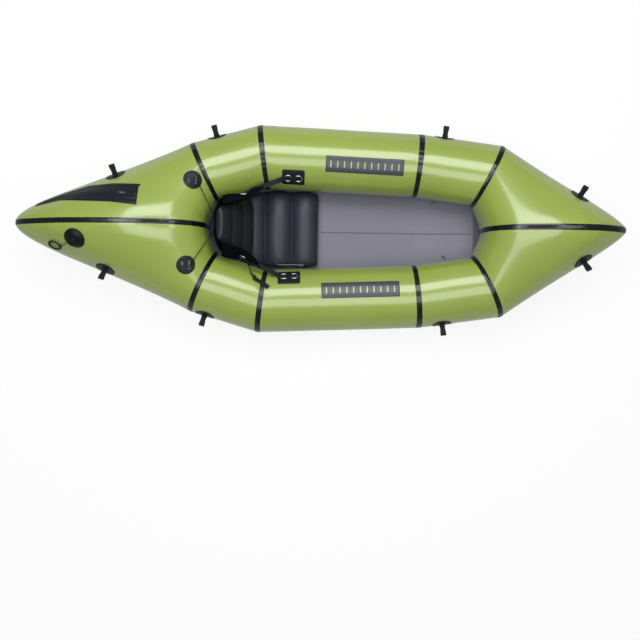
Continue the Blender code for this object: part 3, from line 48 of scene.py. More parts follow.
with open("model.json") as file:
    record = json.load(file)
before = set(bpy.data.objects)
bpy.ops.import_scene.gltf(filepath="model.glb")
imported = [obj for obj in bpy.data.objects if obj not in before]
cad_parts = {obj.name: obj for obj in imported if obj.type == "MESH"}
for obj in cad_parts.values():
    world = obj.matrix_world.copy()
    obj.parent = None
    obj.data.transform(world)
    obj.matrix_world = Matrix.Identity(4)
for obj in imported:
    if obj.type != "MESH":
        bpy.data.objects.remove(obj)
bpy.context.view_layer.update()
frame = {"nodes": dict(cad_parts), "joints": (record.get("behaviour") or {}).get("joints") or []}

# Hull form, as in the part's source
GAP = 0.0003
HULL_LENGTH = 2.64
TUBE_RADIUS = 0.141
FLOOR_LIFT = 0.0020
RING_PLACES = ((-0.517, 0.2465), (-0.257, 0.3245), (0.436, 0.2955), (0.746, 0.2500))
RING_RISES = (0.034, 0.0, 0.0, 0.034)
AFT_RING_YAW = math.radians(24.8)
FORE_RING_YAW = math.radians(-26.6)
RING_AXIS_Z = (TUBE_RADIUS + FLOOR_LIFT) * math.cos(math.radians(7.5))
STERN_SHARES = (
    (0.000, 0.425), (0.018, 0.690), (0.104, 0.885), (0.268, 0.984), (0.500, 0.993), (0.793, 0.892),
    (1.000, 0.625), (0.817, 0.338), (0.549, 0.126), (0.305, 0.080), (0.122, 0.098), (0.024, 0.190),
)
BOW_SHARES = (
    (0.000, 0.410), (0.025, 0.660), (0.117, 0.852), (0.283, 0.955), (0.533, 1.000), (0.800, 0.960),
    (1.000, 0.732), (0.867, 0.477), (0.617, 0.227), (0.350, 0.095), (0.150, 0.085), (0.033, 0.180),
)
ENDS = {
    "stern": (-0.498, -HULL_LENGTH / 2, 0.435, STERN_SHARES, 0.088),
    "bow": (0.718, HULL_LENGTH / 2, 0.440, BOW_SHARES, 0.046),
}
FULLNESS_SHARE = 0.3
TAPE_WIDTH = 0.023
FLOOR_OUTER_ANGLE = math.radians(247.5)
FLOOR_INNER_ANGLE = math.radians(307.5)

# How finely the visible hull is built
HULL_COLUMNS = 192
CONE_ROWS = 44
TUBE_ROWS = 40
SEAM_CROWDING = 0.118

AHEAD = Vector((1, 0, 0))
ACROSS = Vector((0, 1, 0))
UP = Vector((0, 0, 1))
SIDES = {"left": 1, "right": -1}
LOWEST = 0.0002
DOUBLES_REACH = 1e-5


class Signal:
    """A shader socket that arithmetic can be written on."""

    def __init__(self, finish, socket):
        self.finish = finish
        self.socket = socket

    def math(self, operation, *values):
        return self.finish.add("ShaderNodeMath", {"operation": operation}, values)

    def __add__(self, other):
        return self.math("ADD", self, other)

    def __sub__(self, other):
        return self.math("SUBTRACT", self, other)

    def __rsub__(self, other):
        return self.math("SUBTRACT", other, self)

    def __mul__(self, other):
        return self.math("MULTIPLY", self, other)

    __radd__ = __add__
    __rmul__ = __mul__


class Finish:
    """A material under construction: its node tree and its Principled shader."""

    def __init__(self, name):
        self.material = bpy.data.materials.new(name)
        self.material.use_nodes = True
        self.tree = self.material.node_tree
        self.shader = self.tree.nodes["Principled BSDF"]

    def put(self, value, socket):
        if isinstance(value, Signal):
            self.tree.links.new(value.socket, socket)
        else:
            socket.default_value = value

    def add(self, kind, settings=None, values=(), output=0):
        node = self.tree.nodes.new(kind)
        for name, value in (settings or {}).items():
            if name == "stops":
                self.set_stops(node.color_ramp, value)
            else:
                setattr(node, name, value)
        pairs = values.items() if isinstance(values, dict) else enumerate(values)
        for key, value in pairs:
            self.put(value, node.inputs[key])
        return Signal(self, node.outputs[output])

    def set_stops(self, ramp, stops):
        while len(ramp.elements) < len(stops):
            ramp.elements.new(0.5)
        for element, (place, colour) in zip(ramp.elements, stops):
            element.position = place
            element.color = (*colour, 1.0)

    def place(self):
        return self.add("ShaderNodeTexCoord", output="Object")

    def noise(self, scale, detail=2.0, roughness=0.5):
        values = {"Vector": self.place(), "Scale": scale, "Detail": detail, "Roughness": roughness}
        return self.add("ShaderNodeTexNoise", None, values, "Fac")

    def threads(self, scale):
        values = {"Vector": self.place(), "Scale": scale}
        return self.add("ShaderNodeTexVoronoi", {"feature": "F1"}, values)

    def ramp(self, value, low, high):
        stops = [(low, (0, 0, 0)), (high, (1, 1, 1))]
        return self.add("ShaderNodeValToRGB", {"stops": stops}, [value])

    def mix(self, share, first, second):
        settings = {"data_type": "RGBA"}
        colours = [c if isinstance(c, Signal) else (*c, 1.0) for c in (first, second)]
        return self.add("ShaderNodeMix", settings, {0: share, 6: colours[0], 7: colours[1]}, 2)

    def math_clamp(self, value):
        settings = {"operation": "ADD", "use_clamp": True}
        return self.add("ShaderNodeMath", settings, [value, 0.0])

    def bump(self, height, strength, distance, normal=None):
        values = {"Height": height, "Strength": strength, "Distance": distance}
        if normal:
            values["Normal"] = normal
        return self.add("ShaderNodeBump", None, values)

    def surface(self, **sockets):
        for name, value in sockets.items():
            self.put(value, self.shader.inputs[name.replace("_", " ")])
        return self.material


def linear(red, green, blue):
    """A colour given as it looks on screen, from 0 to 255."""
    def channel(value):
        return value / 255 / 12.92 if value < 11 else ((value / 255 + 0.055) / 1.055) ** 2.4
    return tuple(channel(value) for value in (red, green, blue))


class Ring:
    """A seam ring: an upright circle of the tube, turned in plan."""

    def __init__(self, place, rise, yaw, tube_yaw):
        self.centre = Vector((*place, RING_AXIS_Z + rise))
        self.outward = Vector((-math.sin(yaw), math.cos(yaw), 0))
        self.stretch = 1 / math.cos(yaw - tube_yaw)

    def point(self, angle):
        reach = TUBE_RADIUS * self.stretch
        return self.centre - self.outward * (math.cos(angle) * reach) + UP * (math.sin(angle) * TUBE_RADIUS)


def catmull_rom(p, t):
    """A place between the middle two of four knots."""
    curve = p[1] * 2 + (p[2] - p[0]) * t
    curve += (p[0] * 2 - p[1] * 5 + p[2] * 4 - p[3]) * t ** 2
    curve += (p[1] * 3 - p[0] - p[2] * 3 + p[3]) * t ** 3
    return curve / 2


class HullEnd:
    """The centre-plane outline of the stern or the bow."""

    def __init__(self, throat_x, tip_x, height, shares, fullness):
        self.fullness = fullness
        self.knots = [Vector((throat_x + (tip_x - throat_x) * a, 0, height * h)) for a, h in shares]
        corners = [2 * math.pi * (k + 0.5) / 24 for k in range(24)]
        reach = max(abs(self.outline(angle).x - throat_x) for angle in corners)
        stretch = abs(tip_x - throat_x) / reach
        for knot in self.knots:
            knot.x = throat_x + (knot.x - throat_x) * stretch

    def outline(self, angle):
        count = len(self.knots)
        place = angle / (2 * math.pi) * count
        base = math.floor(place)
        return catmull_rom([self.knots[(base + k) % count] for k in (-1, 0, 1, 2)], place - base)


class TubeZone:
    """A straight panel between two rings."""

    def __init__(self, first, last):
        self.first = first
        self.last = last
        self.length = (last.centre - first.centre).length

    def point(self, angle, share):
        return self.first.point(angle).lerp(self.last.point(angle), share)

    def tape_shares(self, angle):
        edge = TAPE_WIDTH / 2 / self.length
        return edge, 1 - edge


class ConeZone:
    """A half cone from a ring to the centre plane."""

    def __init__(self, ring, end):
        self.ring = ring
        self.end = end

    @lru_cache(maxsize=None)
    def handles(self, angle):
        start = self.ring.point(angle)
        finish = self.end.outline(angle)
        fullness = min(self.end.fullness, FULLNESS_SHARE * (finish - start).length)
        return start, start.lerp(finish, 0.5), finish + Vector((0, fullness, 0)), finish

    def point(self, angle, share):
        p = self.handles(angle)
        rest = 1 - share
        near = p[0] * rest ** 3 + p[1] * (3 * share * rest ** 2)
        return near + p[2] * (3 * share ** 2 * rest) + p[3] * share ** 3

    def tape_shares(self, angle):
        p = self.handles(angle)
        near = TAPE_WIDTH / 2 / (3 * (p[1] - p[0]).length)
        return near, 1 - TAPE_WIDTH / 2 / (3 * (p[3] - p[2]).length)


def make_zones():
    """The five zones of one side of the hull."""
    pairs = list(zip(RING_PLACES, RING_PLACES[1:]))
    yaws = [math.atan2(b[1] - a[1], b[0] - a[0]) for a, b in pairs]
    ring_yaws = (AFT_RING_YAW, (yaws[0] + yaws[1]) / 2, (yaws[1] + yaws[2]) / 2, FORE_RING_YAW)
    tube_yaws = (yaws[0], yaws[1], yaws[1], yaws[2])
    rings = [Ring(*facts) for facts in zip(RING_PLACES, RING_RISES, ring_yaws, tube_yaws)]
    return {
        "stern_cone": ConeZone(rings[0], HullEnd(*ENDS["stern"])),
        "aft_shoulder": TubeZone(rings[0], rings[1]),
        "mid_tube": TubeZone(rings[1], rings[2]),
        "fore_shoulder": TubeZone(rings[2], rings[3]),
        "bow_cone": ConeZone(rings[3], HullEnd(*ENDS["bow"])),
    }


ZONES = make_zones()
ZONE_SEAMS = {
    "stern_cone": ("aft_ring", "stern_centre"), "aft_shoulder": ("aft_ring", "mid_aft_ring"),
    "mid_tube": ("mid_aft_ring", "mid_fore_ring"), "fore_shoulder": ("mid_fore_ring", "fore_ring"),
    "bow_cone": ("fore_ring", "bow_centre"),
}
SEAM_SEEDS = {
    "aft_ring": 3.1, "mid_aft_ring": 11.7, "mid_fore_ring": 23.9, "fore_ring": 37.3,
    "stern_centre": 51.1, "bow_centre": 67.7,
}
PUCKER_HEIGHT = 0.00085
PUCKER_REACH = 0.030
PUCKERS_PER_METRE = 52
SWELL_HEIGHT = 0.0009
SWELLS_PER_METRE = 5.5
SEAM_DIP = 0.0012
PUCKER_FADE = 14
RIGHT_SEED_SHIFT = 131.3


def seam_relief(name, distance, round_place, side):
    """Height of the puckers that a seam pulls into the fabric beside it."""
    if distance > 5 * PUCKER_REACH:
        return 0.0
    seed = SEAM_SEEDS[name] + (0 if side > 0 else RIGHT_SEED_SHIFT)
    spot = Vector((round_place * PUCKERS_PER_METRE, distance * PUCKER_FADE, seed))
    fold = noise.noise(spot) + 0.5 * noise.noise(spot * 2.1)
    fade = math.exp(-distance / PUCKER_REACH)
    return fade * (PUCKER_HEIGHT * fold * 1.6 - SEAM_DIP)


def skin_grid(zone_name, side, angles, share_rows):
    """Points and outward directions of the raised hull skin on a lattice of shares and angles."""
    zone = ZONES[zone_name]
    points = np.array([[zone.point(a, s) for a, s in zip(angles, row)] for row in share_rows])
    points[..., 1] *= side
    rows, columns = points.shape[:2]
    small = 1e-4
    around = np.array([[zone.point(a + small, s) - zone.point(a - small, s)
                        for a, s in zip(angles, row)] for row in share_rows])
    along = np.array([[zone.point(a, min(s + small, 1)) - zone.point(a, max(s - small, 0))
                       for a, s in zip(angles, row)] for row in share_rows])
    out = np.cross(around, along)
    out /= np.linalg.norm(out, axis=2, keepdims=True)
    out[..., 1] *= side
    core = points.mean(axis=1, keepdims=True)
    out *= np.sign(((points - core) * out).sum(axis=2).mean())
    seams = ZONE_SEAMS[zone_name]
    lengths = [(zone.point(a, 1) - zone.point(a, 0)).length for a in angles]
    relief = np.zeros((rows, columns))
    for i in range(rows):
        for j in range(columns):
            share = share_rows[i][j]
            place = angles[j] * TUBE_RADIUS
            height = SWELL_HEIGHT * noise.noise(Vector(points[i, j]) * SWELLS_PER_METRE)
            height += seam_relief(seams[0], lengths[j] * share, place, side)
            height += seam_relief(seams[1], lengths[j] * (1 - share), place, side)
            relief[i, j] = height
    return points + out * relief[..., None], out


def share_lattice(angles, rows):
    """Shares along every ruling, closer together beside the seams."""
    shares = [k / rows for k in range(rows + 1)]
    return [[t - SEAM_CROWDING * math.sin(2 * math.pi * t)] * len(angles) for t in shares]


def turns(count, first=0.0, last=2 * math.pi):
    """Evenly spaced angles, without the last."""
    return [first + (last - first) * k / count for k in range(count)]


def circle(middle, across, up, radius, count):
    """Places round a circle."""
    return [middle + (across * math.cos(t) + up * math.sin(t)) * radius for t in turns(count)]


def lattice_faces(rows, columns, closed):
    """Quads of a lattice stored row by row."""
    span = columns if closed else columns - 1
    faces = []
    for i in range(rows - 1):
        a, b = i * columns, (i + 1) * columns
        for j in range(span):
            n = (j + 1) % columns
            faces.append((a + j, a + n, b + n, b + j))
    return faces


def add_object(name, data):
    """An object in the scene."""
    thing = bpy.data.objects.new(name, data)
    bpy.context.scene.collection.objects.link(thing)
    return thing


def add_piece(name, points, faces, finish, smooth=True, lowest=LOWEST):
    """A mesh object at the origin, with no place of it lower than a height."""
    mesh = bpy.data.meshes.new(name)
    mesh.from_pydata([(p[0], p[1], max(p[2], lowest)) for p in points], [], faces)
    mesh.materials.append(material(finish))
    if smooth:
        mesh.shade_smooth()
    return add_object(name, mesh)


def turn_out(piece):
    """Merge doubles and point the faces of a closed piece outwards."""
    shape = bmesh.new()
    shape.from_mesh(piece.data)
    bmesh.ops.remove_doubles(shape, verts=shape.verts, dist=DOUBLES_REACH)
    bmesh.ops.recalc_face_normals(shape, faces=shape.faces)
    shape.to_mesh(piece.data)
    shape.free()
    return piece


def shell(name, outer, inner, faces, finish):
    """A thin closed piece from an outer and an inner skin."""
    outer, inner = np.reshape(outer, (-1, 3)), np.reshape(inner, (-1, 3))
    count = len(outer)
    used = {pair for face in faces for pair in zip(face, face[1:] + face[:1])}
    solid = list(faces) + [tuple(count + k for k in reversed(face)) for face in faces]
    solid += [(b, a, count + a, count + b) for a, b in used if (b, a) not in used]
    piece = turn_out(add_piece(name, [*outer, *inner], solid, finish))
    piece.data.set_sharp_from_angle(angle=math.radians(50))
    return piece


def settle(piece, body, slot, *nodes):
    """Attach a piece to the body it rides on and hide the solids it stands for."""
    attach(piece, body)
    if nodes:
        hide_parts(*nodes)
    return piece


# Materials

def coated_fabric(name, colour, roughness, shift=0.06, weave=0.00012, coat=0.0, shine=0.5):
    """Coated boat fabric: a faint weave under the coating, slow colour change and fine scuffs."""
    finish = Finish(name)
    cloudy = finish.noise(3.2, 3.0)
    speckle = finish.noise(140.0, 2.0)
    lighter = tuple(min(1.0, c * (1 + 2 * shift)) for c in colour)
    darker = tuple(c * (1 - 2 * shift) for c in colour)
    tint = finish.mix(cloudy * 0.75 + speckle * 0.25, darker, lighter)
    scuffs = finish.ramp(finish.noise(38.0, 6.0, roughness=0.7), 0.55, 0.85)
    dull = scuffs * 0.10 + speckle * 0.06 + (roughness - 0.05)
    threads = finish.threads(900.0)
    ripple = finish.noise(26.0, 3.0)
    fine = finish.bump(threads, 0.12, weave)
    relief = finish.bump(ripple, 0.35, 0.0011, fine)
    return finish.surface(
        Base_Color=tint, Roughness=dull, Normal=relief, Coat_Weight=coat, Coat_Roughness=0.13,
        Specular_IOR_Level=shine)


def seam_tape_finish(name, colour):
    """Gloss black tape: wrinkled by the seam under it, with painted highlight on the crests of its wrinkles.
    """
    finish = Finish(name)
    wrinkle = finish.noise(95.0, 3.0)
    coarse = finish.noise(30.0, 2.0)
    # Painted highlight: the tape is paler where its wrinkles rise.
    tint = finish.mix(finish.ramp(wrinkle, 0.45, 0.8) * 0.35, colour, tuple(c * 2.4 for c in colour))
    relief = finish.bump(wrinkle, 0.5, 0.0006, finish.bump(coarse, 0.5, 0.0015))
    return finish.surface(Base_Color=tint, Roughness=wrinkle * 0.14 + 0.12, Normal=relief)


def webbing_finish(name, colour, ribs=420.0):
    """Woven webbing: ribs across, a fine twill and loose fibres."""
    finish = Finish(name)
    place = finish.place()
    wave = finish.add("ShaderNodeTexWave", {"bands_direction": "X"}, {"Vector": place, "Scale": ribs / 6.0})
    cross = finish.add("ShaderNodeTexWave", {"bands_direction": "Y"}, {"Vector": place, "Scale": ribs / 6.0})
    fibre = finish.noise(600.0, 2.0)
    weave = wave * 0.5 + cross * 0.5
    darker, lighter = tuple(c * 0.5 for c in colour), tuple(c * 2.0 for c in colour)
    tint = finish.mix(weave * 0.6 + fibre * 0.4, darker, lighter)
    relief = finish.bump(weave + fibre * 0.5, 0.5, 0.0004)
    return finish.surface(
        Base_Color=tint, Roughness=fibre * 0.1 + 0.7, Normal=relief, Specular_IOR_Level=0.25)


def moulded_finish(name, colour, roughness, grain=260.0, shine=0.5):
    """Moulded rubber or plastic with a fine grain and rubbed high spots."""
    finish = Finish(name)
    grains = finish.noise(grain, 3.0)
    rubbed = finish.ramp(finish.noise(45.0, 4.0), 0.5, 0.8)
    tint = finish.mix(rubbed * 0.5, colour, tuple(c * 2.2 + 0.004 for c in colour))
    relief = finish.bump(grains, 0.3, 0.0002)
    return finish.surface(
        Base_Color=tint, Roughness=grains * 0.15 + rubbed * 0.08 + (roughness - 0.1), Normal=relief,
        Specular_IOR_Level=shine)


def wire_finish(name, colour):
    """Bright steel wire with fine draw marks."""
    finish = Finish(name)
    marks = finish.noise(500.0, 3.0)
    tint = finish.mix(marks * 0.5, colour, tuple(c * 0.7 for c in colour))
    relief = finish.bump(marks, 0.2, 0.0001)
    return finish.surface(Base_Color=tint, Roughness=marks * 0.15 + 0.26, Metallic=1.0, Normal=relief)


def seat_finish(name, colour):
    """Coated cushion fabric: soft wrinkles, a fine weave and a dull sheen, with painted shade in the hollows
    of its wrinkles and painted light on their crests.
    """
    finish = Finish(name)
    crease_relief_and_shade = finish.noise(34.0, 5.0, roughness=0.6)
    folds = finish.noise(11.0, 2.0)
    threads = finish.threads(1100.0)
    # Colour follows the wrinkle height: painted shade in the hollows, painted light on the crests.
    tint = finish.mix(crease_relief_and_shade, tuple(c * 0.75 for c in colour), tuple(c * 1.3 for c in colour))
    relief = finish.bump(threads, 0.2, 0.0002, finish.bump(crease_relief_and_shade + folds, 0.6, 0.0022))
    return finish.surface(
        Base_Color=tint, Roughness=crease_relief_and_shade * 0.16 + 0.36, Normal=relief, Specular_IOR_Level=0.4)


MATERIAL_MAKERS = {
    "hull": lambda: coated_fabric("hull_fabric", linear(149, 167, 74), 0.33, coat=1.0),
    "tape": lambda: seam_tape_finish("seam_tape", linear(17, 17, 21)),
    "floor": lambda: coated_fabric("floor_fabric", linear(114, 112, 127), 0.42, weave=0.0003, shine=0.35),
    "patch": lambda: coated_fabric("patch_fabric", linear(25, 26, 32), 0.42, weave=0.0003, shine=0.3),
    "webbing": lambda: webbing_finish("webbing_weave", linear(24, 24, 28)),
    "strip": lambda: coated_fabric("strip_fabric", linear(56, 56, 70), 0.34, weave=0.0003, shine=0.6),
    "steel": lambda: wire_finish("ring_steel", linear(238, 239, 242)),
    "rubber": lambda: moulded_finish("valve_rubber", linear(17, 18, 20), 0.48, shine=0.22),
    "plastic": lambda: moulded_finish("plunger_plastic", linear(36, 37, 40), 0.42, shine=0.3),
    "zipper": lambda: coated_fabric("zipper_fabric", linear(24, 26, 33), 0.38, weave=0.0003, shine=0.3),
    "seat": lambda: seat_finish("seat_fabric", linear(40, 41, 53)),
    "cord": lambda: webbing_finish("cord_braid", linear(20, 20, 22), 900.0),
    "gloss": lambda: moulded_finish("gloss_plastic", linear(40, 40, 46), 0.20, shine=0.9),
    "grey": lambda: moulded_finish("tube_plastic", linear(84, 84, 92), 0.35),
    "backrest": lambda: seat_finish("backrest_fabric", linear(30, 31, 38)),
    "shell": lambda: coated_fabric("shell_fabric", linear(20, 20, 25), 0.45, weave=0.0003, shine=0.0),
    "crease": lambda: coated_fabric("floor_seam", linear(86, 85, 97), 0.45, shine=0.3),
    "stitch": lambda: webbing_finish("stitch_thread", linear(52, 53, 60), 1500.0),
    "ground": lambda: white_ground(),
}


@lru_cache(maxsize=None)
def material(slot):
    """The material of a finish, made the first time it is asked for."""
    return MATERIAL_MAKERS[slot]()


# Stage

CAMERA_PLACE = (0.006, -0.407)
CAMERA_TURN = math.radians(0.86)
SENSOR_WIDTH = 36.0
GROUND_HALF = 12.0
GROUND_GLOW_SHARE = 0.86
MIRROR_DIMMING = 0.55
WORLD_COLOUR = (0.95, 0.97, 1.0, 1.0)
WORLD_STRENGTH = 0.22
STAGE_LAMPS = (
    ("left_box", (0.0, 2.20, 4.4), (3.6, 2.5), 146),
    ("right_box", (0.0, -1.25, 4.4), (3.6, 2.1), 72),
    ("stern_box", (-1.72, 0.38, 4.4), (1.4, 0.95), 27),
    ("bow_box", (1.90, 0.38, 4.4), (1.1, 0.95), 14),
)


def area_light(name, place, size, power):
    """A soft rectangular lamp that points straight down."""
    lamp = bpy.data.lights.new(name, "AREA")
    lamp.shape = "RECTANGLE"
    lamp.size, lamp.size_y = size
    lamp.energy = power
    holder = add_object(name, lamp)
    holder.location = place
    holder.rotation_euler = (-UP).to_track_quat("-Z", "Y").to_euler()


def white_ground():
    """White for the camera and in reflections, with the object's shadow kept."""
    finish = Finish("studio_ground")
    tree = finish.tree
    paths = tree.nodes.new("ShaderNodeLightPath")
    seen = Signal(finish, paths.outputs["Is Camera Ray"])
    mirrored = Signal(finish, paths.outputs["Is Glossy Ray"])
    passed = Signal(finish, paths.outputs["Is Transmission Ray"])
    share = finish.math_clamp(seen + mirrored + passed)
    glow = tree.nodes.new("ShaderNodeEmission")
    tree.links.new((1.0 - mirrored * MIRROR_DIMMING).socket, glow.inputs["Strength"])
    blend = tree.nodes.new("ShaderNodeMixShader")
    finish.surface(Base_Color=(0.93, 0.93, 0.93, 1.0), Roughness=0.9)
    tree.links.new((share * GROUND_GLOW_SHARE).socket, blend.inputs[0])
    tree.links.new(finish.shader.outputs[0], blend.inputs[1])
    tree.links.new(glow.outputs[0], blend.inputs[2])
    tree.links.new(blend.outputs[0], tree.nodes["Material Output"].inputs[0])
    return finish.material


class STAGE_PG(bpy.types.PropertyGroup):
    """Sizes of the stage."""

    camera_height: FloatProperty(
        name="Camera height", description="Height of the camera over the ground", default=4.25, unit="LENGTH")
    lens: FloatProperty(name="Lens", description="Focal length of the camera in mm", default=51.1)
    brightness: FloatProperty(name="Brightness", description="Share of the lamps' usual power", default=1.0)


class PACKRAFT_OT_stage(bpy.types.Operator):
    """Make the ground, the lamps, the world and the camera."""

    bl_idname = "packraft.stage"
    bl_label = "Stage"

    def execute(self, context):
        sizes = context.scene.packraft_stage
        half = GROUND_HALF
        corners = [(-half, -half, 0), (half, -half, 0), (half, half, 0), (-half, half, 0)]
        ground = add_piece("studio_ground", corners, [(0, 1, 2, 3)], "ground", smooth=False, lowest=0.0)
        power = sizes.brightness
        for name, place, size, watts in STAGE_LAMPS:
            area_light(name, place, size, watts * power)
        world = bpy.data.worlds.new("studio_world")
        world.use_nodes = True
        context.scene.world = world
        tree = world.node_tree
        paths = tree.nodes.new("ShaderNodeLightPath")
        join = tree.nodes.new("ShaderNodeMath")
        join.operation = "MAXIMUM"
        tree.links.new(paths.outputs["Is Camera Ray"], join.inputs[0])
        tree.links.new(paths.outputs["Is Transmission Ray"], join.inputs[1])
        dim = tree.nodes["Background"]
        dim.inputs[0].default_value = WORLD_COLOUR
        dim.inputs[1].default_value = WORLD_STRENGTH * power
        bright = tree.nodes.new("ShaderNodeBackground")
        bright.inputs[0].default_value = (1.0, 1.0, 1.0, 1.0)
        bright.inputs[1].default_value = 1.0
        blend = tree.nodes.new("ShaderNodeMixShader")
        tree.links.new(join.outputs[0], blend.inputs[0])
        tree.links.new(dim.outputs[0], blend.inputs[1])
        tree.links.new(bright.outputs[0], blend.inputs[2])
        tree.links.new(blend.outputs[0], tree.nodes["World Output"].inputs[0])
        camera = bpy.data.cameras.new("camera")
        camera.lens = sizes.lens
        camera.sensor_width = SENSOR_WIDTH
        holder = add_object("camera", camera)
        holder.location = (*CAMERA_PLACE, sizes.camera_height)
        holder.rotation_euler = (0, 0, CAMERA_TURN)
        context.scene.camera = holder
        context.scene.view_settings.view_transform = "Standard"
        return {"FINISHED"}


# Hull, tapes and floor

class HULL_PG(bpy.types.PropertyGroup):
    """Thicknesses of the hull's skin and tapes."""

    skin: FloatProperty(
        name="Skin thickness", description="Thickness of the coated fabric", default=0.0008, unit="LENGTH")
    tape: FloatProperty(
        name="Tape lift", description="Height of a seam tape's top over the fabric", default=0.0011,
        unit="LENGTH")


class PACKRAFT_OT_hull(bpy.types.Operator):
    """Make the ten panels of the hull, puckered beside their seams."""

    bl_idname = "packraft.hull"
    bl_label = "Hull panels"

    def execute(self, context):
        angles = turns(HULL_COLUMNS)
        skin = context.scene.packraft_hull.skin
        for name, zone in ZONES.items():
            rows = CONE_ROWS if isinstance(zone, ConeZone) else TUBE_ROWS
            lattice = share_lattice(angles, rows)
            faces = lattice_faces(rows + 1, len(angles), closed=True)
            for word, side in SIDES.items():
                points, out = skin_grid(name, side, angles, lattice)
                piece = shell(f"{name}_{word}_skin", points, points - out * skin, faces, "hull")
                settle(piece, "hull", "hull", f"{name}_{word}")
        return {"FINISHED"}


TAPE_STEPS = ((1.0, 0.55), (0.93, 1.0), (0.5, 1.0), (0.0, 1.0))
TAPE_UNDERSIDE = 0.0004
RING_TAPES = {
    "aft_ring": (("stern_cone", "near"), ("aft_shoulder", "near")),
    "mid_aft_ring": (("aft_shoulder", "far"), ("mid_tube", "near")),
    "mid_fore_ring": (("mid_tube", "far"), ("fore_shoulder", "near")),
    "fore_ring": (("fore_shoulder", "far"), ("bow_cone", "near")),
}
CENTRE_TAPES = {"stern": "stern_cone", "bow": "bow_cone"}


def tape_rows(zone_name, end, side, lift):
    """Rows of a tape on one zone: from its edge to the seam at the zone's near or far end."""
    angles = turns(HULL_COLUMNS)
    shares = [ZONES[zone_name].tape_shares(angle) for angle in angles]
    lattice = []
    for step, _ in TAPE_STEPS:
        lattice.append([near * step if end == "near" else 1 - (1 - far) * step for near, far in shares])
    points, out = skin_grid(zone_name, side, angles, lattice)
    return points + out * np.array([lift * rise for _, rise in TAPE_STEPS])[:, None, None]


def add_tape(name, halves, lift):
    """A tape over a seam, from its half on either side: each one's zone, end and side."""
    skins = []
    for height in (lift, TAPE_UNDERSIDE):
        first, last = (tape_rows(*half, height) for half in halves)
        skins.append(np.concatenate([first[:-1], (first[-1:] + last[-1:]) / 2, last[-2::-1]]))
    faces = lattice_faces(len(skins[0]), HULL_COLUMNS, closed=True)
    settle(shell(f"{name}_band", *skins, faces, "tape"), "hull", "tape", name)


class PACKRAFT_OT_tapes(bpy.types.Operator):
    """Make the tapes over the ring seams and round the two centre seams."""

    bl_idname = "packraft.tapes"
    bl_label = "Seam tapes"

    def execute(self, context):
        lift = context.scene.packraft_hull.tape
        for name, halves in RING_TAPES.items():
            for word, side in SIDES.items():
                add_tape(f"{name}_tape_{word}", [(*half, side) for half in halves], lift)
        for name, zone in CENTRE_TAPES.items():
            add_tape(f"{name}_centre_tape", [(zone, "far", side) for side in SIDES.values()], lift)
        return {"FINISHED"}


FLOOR_FLANGE_COLUMNS = 16
FLOOR_SPAN_COLUMNS = 44
FLOOR_CONE_ROWS = 22
FLOOR_TUBE_ROWS = 16
FLOOR_TOP_LIFT = 0.0012
FLOOR_UNDERSIDE_LIFT = 0.0020
FLOOR_SAG = 0.004
FLOOR_RIPPLE = 0.0016
FLOOR_SEAM_ENDS = (0.004, 0.700)
FLOOR_SEAM_WIDTH = 0.005
FLOOR_LOOPS = ((0.518, 0.142, 20), (0.573, -0.108, -35))
FLOOR_LOOP_REACH = 0.009
FLOOR_LOOP_HEIGHT = 0.010


def floor_sheet_skin(lift):
    """Rows of the floor: the left flange, the span and the right flange, from stern to bow."""
    angles = turns(FLOOR_FLANGE_COLUMNS, FLOOR_OUTER_ANGLE, FLOOR_INNER_ANGLE)
    angles.append(FLOOR_INNER_ANGLE)
    grids = {}
    for side in SIDES.values():
        rows = []
        for name, zone in ZONES.items():
            steps = FLOOR_CONE_ROWS if isinstance(zone, ConeZone) else FLOOR_TUBE_ROWS
            lattice = share_lattice(angles, steps)
            points, out = skin_grid(name, side, angles, lattice)
            points = points + out * lift
            if name == "stern_cone":
                points = points[::-1]
            rows.append(points if not rows else points[1:])
        grids[side] = np.concatenate(rows)
    left, right = grids[1], grids[-1]
    left[0, :, 1] = right[0, :, 1] = left[-1, :, 1] = right[-1, :, 1] = 0.0
    skin = []
    for row_left, row_right in zip(left, right):
        line = list(row_left)
        width = (row_left[-1] - row_right[-1])[1]
        for k in range(1, FLOOR_SPAN_COLUMNS):
            share = k / FLOOR_SPAN_COLUMNS
            point = row_left[-1] * (1 - share) + row_right[-1] * share
            ease = min(1.0, 4 * share * (1 - share) * 1.6)
            drop = min(FLOOR_SAG, width * 0.02) * ease
            wide = FLOOR_RIPPLE * noise.noise(Vector(point) * 9.0) * ease
            fine = FLOOR_RIPPLE * noise.noise(Vector((point[0] * 38, point[1] * 14, 5.0))) * ease
            point[2] += -drop + wide + fine
            line.append(point)
        line += list(row_right[::-1])
        skin.append(line)
    return np.array(skin)


